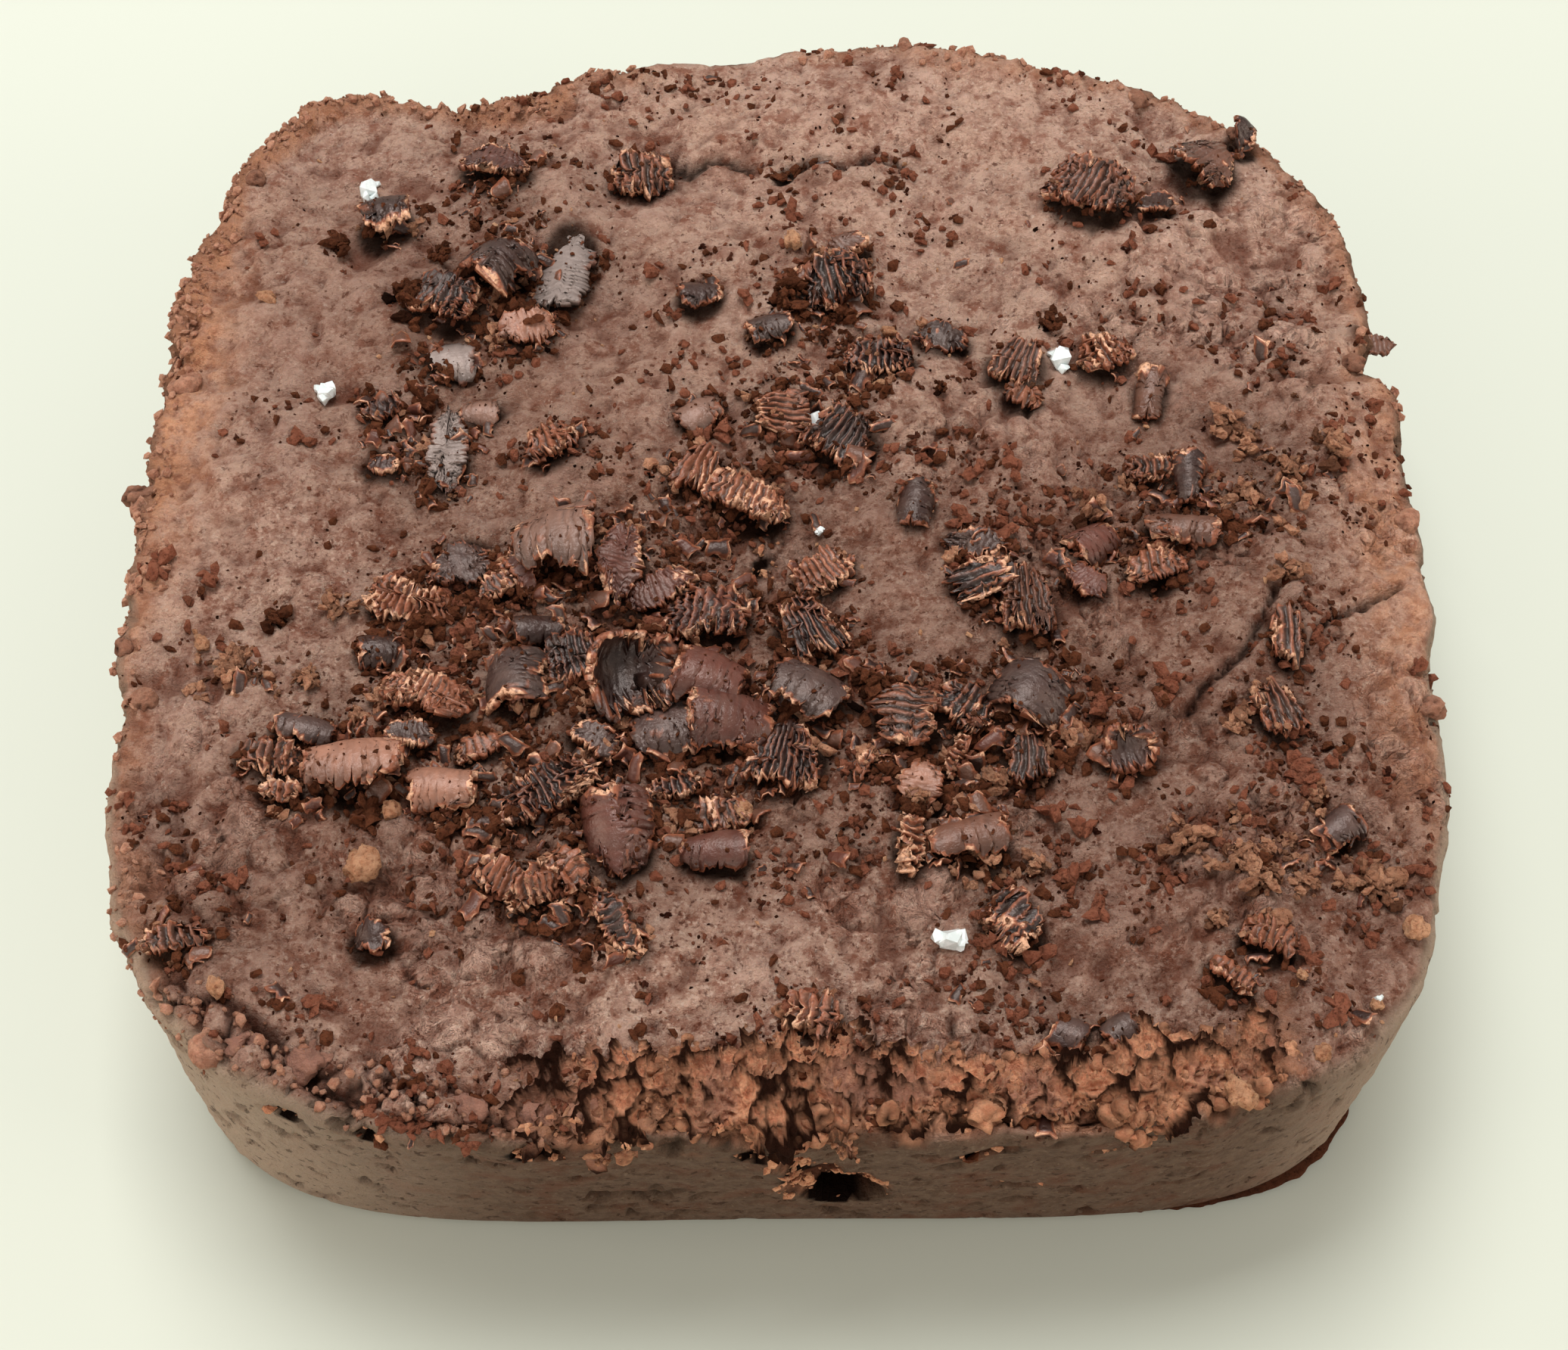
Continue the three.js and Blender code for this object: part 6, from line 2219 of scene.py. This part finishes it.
def strew_all(
    block: FudgeBlock, ground: Shape, sheets: Shape, crust: Shape, finishes: dict[str, bpy.types.Material]
) -> None:
    """Strews the small crumbs over the block and the shavings.

    Args:
        block: The block.
        ground: Its finished surface.
        sheets: All the shavings as one shape.
        crust: The crust of the broken lip.
        finishes: The materials by name.
    """
    tree = strewing_tree()
    x, y, z = ground.points.T
    inside = block.inside(x, y)
    up = smooth_step(ground.normals()[:, 2], 0.5, 0.8)
    top = up * smooth_step(z, 8.5, 9)
    # The spread of dust and litter alone, without the painted shadow under the shavings.
    dust_and_shadow = litter(x, y) * smooth_step(inside, 0.7, 1.2)
    patchy = smooth_step(fractal_noise(ground.points, 1.6, 81, 2), -0.55, 0.3)
    left_lip = block.lip_share(ground.points) * (1 - smooth_step(x, -9, -6))
    rim = block.rim_share(ground.points)
    shards = [shard(1 + index, flat) for index, flat in enumerate((0.7, 0.5, 0.9, 0.6, 0.8, 0.45))]
    granules = [shard(7 + index, flat, 0) for index, flat in enumerate((0.8, 0.9, 0.7, 1.0))]
    tones = (DARK, RED, DARK, GREY, DARK, RED, DARK, BROWN)
    flakes = [flake(seed + 20, tone, 0.4 + 0.06 * seed) for seed, tone in enumerate(tones)]
    clumps = [clump(seed) for seed in range(4)]
    front = smooth_step(-y, 15, 19)
    hole = block.pit_depth(ground.points)[0]
    brink = smooth_step(hole, 0.02, 0.2) * (1 - smooth_step(hole, 0.5, 0.9)) * smooth_step(z, 2, 4)
    thick = smooth_step(dust_and_shadow * top * (0.4 + 0.6 * patchy), 0.3, 0.85)
    fluffy = top * np.maximum(0.25 * thick, 0.8 * drift_share(RUSTY_DRIFTS, x, y) - 0.1)
    thin = top * smooth_step(fractal_noise(ground.points, 2.2, 84, 3), -0.15, 0.4)
    thin = thin * (1 - 0.6 * smooth_step(y, 2, 9))
    thin = thin * (1 - 0.8 * smooth_step(-x, 11, 14) * smooth_step(y, -9, -5))
    upper_rim = rim * smooth_step(z, 7.5, 9)
    # Each strewing's name, grains, grains per square millimetre, smallest and largest size and seed, then its
    # sink, whether it is smooth and its darkest shade; how dense it lies; and its finish.
    strewings = (
        (Strewing("chocolate_crumbs", shards, 10.0, 0.12, 0.5, 101), thick, "crumb"),
        (Strewing("chocolate_clumps", clumps, 3.0, 0.3, 1.0, 114, 0.0), thick, "crumb"),
        (Strewing("rusty_crumbs", shards, 5.5, 0.1, 0.42, 112), thick, "rust"),
        (Strewing("rusty_clumps", clumps, 5.0, 0.3, 0.9, 115, 0.0), fluffy, "torn"),
        (Strewing("chocolate_shreds", flakes, 2.6, 0.35, 1.05, 102, -0.05, True), thick, "chocolate"),
        (Strewing("loose_crumbs", shards, 7.0, 0.1, 0.5, 103), thin, "rust"),
        (Strewing("loose_clumps", clumps, 1.0, 0.35, 1.1, 117, 0.0), thin, "rust"),
        (Strewing("dark_crumbs", shards, 5.0, 0.12, 0.55, 113), thin, "crumb"),
        (Strewing("loose_shreds", flakes, 0.12, 0.4, 1.1, 109, -0.05, True), thin, "chocolate"),
        (Strewing("rim_crumbs", shards, 14.0, 0.12, 0.5, 106, -0.1, False, 0.5), upper_rim, "rim"),
        (Strewing("lip_dough", granules, 5.0, 0.12, 0.45, 110, -0.15, True, 0.3), left_lip, "rim"),
        (Strewing("brink_crumbs", shards, 22.0, 0.1, 0.45, 111, -0.1, False, 0.3), brink, "golden"),
        (Strewing("tan_dust", shards, 0.25, 0.08, 0.3, 107), top * (0.25 + dust_and_shadow + front), "tan"),
    )
    for strewing, density, finish in strewings:
        piece = strewing.strew(tree, ground, np.clip(density, 0, 1), finishes[finish])
        settle(piece)
    spread = (0.2 + 0.8 * crust.marks["high"]) * smooth_step(crust.normals()[:, 2], -0.1, 0.4)
    nubs = [lump(0.5, (1.1, 0.9, 0.85), 2, 0.55, seed) for seed in range(5)]
    for golden in (
        Strewing("lip_crumbs", shards, 20.0, 0.1, 0.42, 105, -0.1, False, 0.25),
        Strewing("lip_nubs", nubs, 9.0, 0.2, 0.75, 116, -0.05, True, 0.05),
    ):
        settle(golden.strew(tree, crust, spread, finishes["golden"]))
    facing = smooth_step(sheets.normals()[:, 2], 0.55, 0.85)
    on_sheets = Strewing("dust_on_shavings", shards, 4.0, 0.04, 0.24, 108)
    settle(on_sheets.strew(tree, sheets, facing * 0.8, finishes["crumb"]))


FACETED = ("torn_fringe", "drifted_crumbs", "rusty_drifts", "salt_crystals")  # flat from edge to edge


def main() -> None:
    """Builds the fudge and its studio."""
    block = FudgeBlock()
    kinds = {
        "fudge": MOULDED_FUDGE, "chocolate": GRATED_CHOCOLATE, "crumb": CHOCOLATE_CRUMB, "rust": RUSTY_CRUMB,
        "torn": TORN_CRUMB, "golden": GOLDEN_CRUMB, "rim": RIM_CRUMB, "tan": TAN_CRUMB,
        "salt": SEA_SALT,
    }
    finishes = {name: finish.build() for name, finish in kinds.items()}
    ground = block.build()
    grating, fringe = Grating().pieces(block)
    crumbs = Crumbs(block)
    dark, rusty = crumbs.drifts()
    crust = LipCrust(block).build()
    sheets = [(f"shavings_{cut.value}", shape, "chocolate", "grated_chocolate")
              for cut, shape in grating.items()]
    for name, shape, finish, slot in (
        ("fudge_block", ground, "fudge", "fudge"),
        *sheets,
        ("torn_fringe", fringe, "torn", "grated_chocolate"),
        ("drifted_crumbs", dark, "crumb", "grated_chocolate"),
        ("rusty_drifts", rusty, "torn", "grated_chocolate"),
        ("lip_crust", crust, "golden", "golden_crumb"),
        ("lip_granules", crumbs.lip(), "golden", "golden_crumb"),
        ("rim_granules", crumbs.rim(), "rim", "golden_crumb"),
        ("tan_bits", crumbs.tan_bits(), "tan", "golden_crumb"),
        ("salt_crystals", Salt(block).build(), "salt", "salt"),
        ("squeezed_skirt", Skirt(block).build(), "crumb", "fudge"),
    ):
        settle(new_object(name, shape, finishes[finish], name not in FACETED))
    strew_all(block, ground, joined(list(grating.values())), crust, finishes)
    Studio().build()


if __name__ == "__main__":
    main()
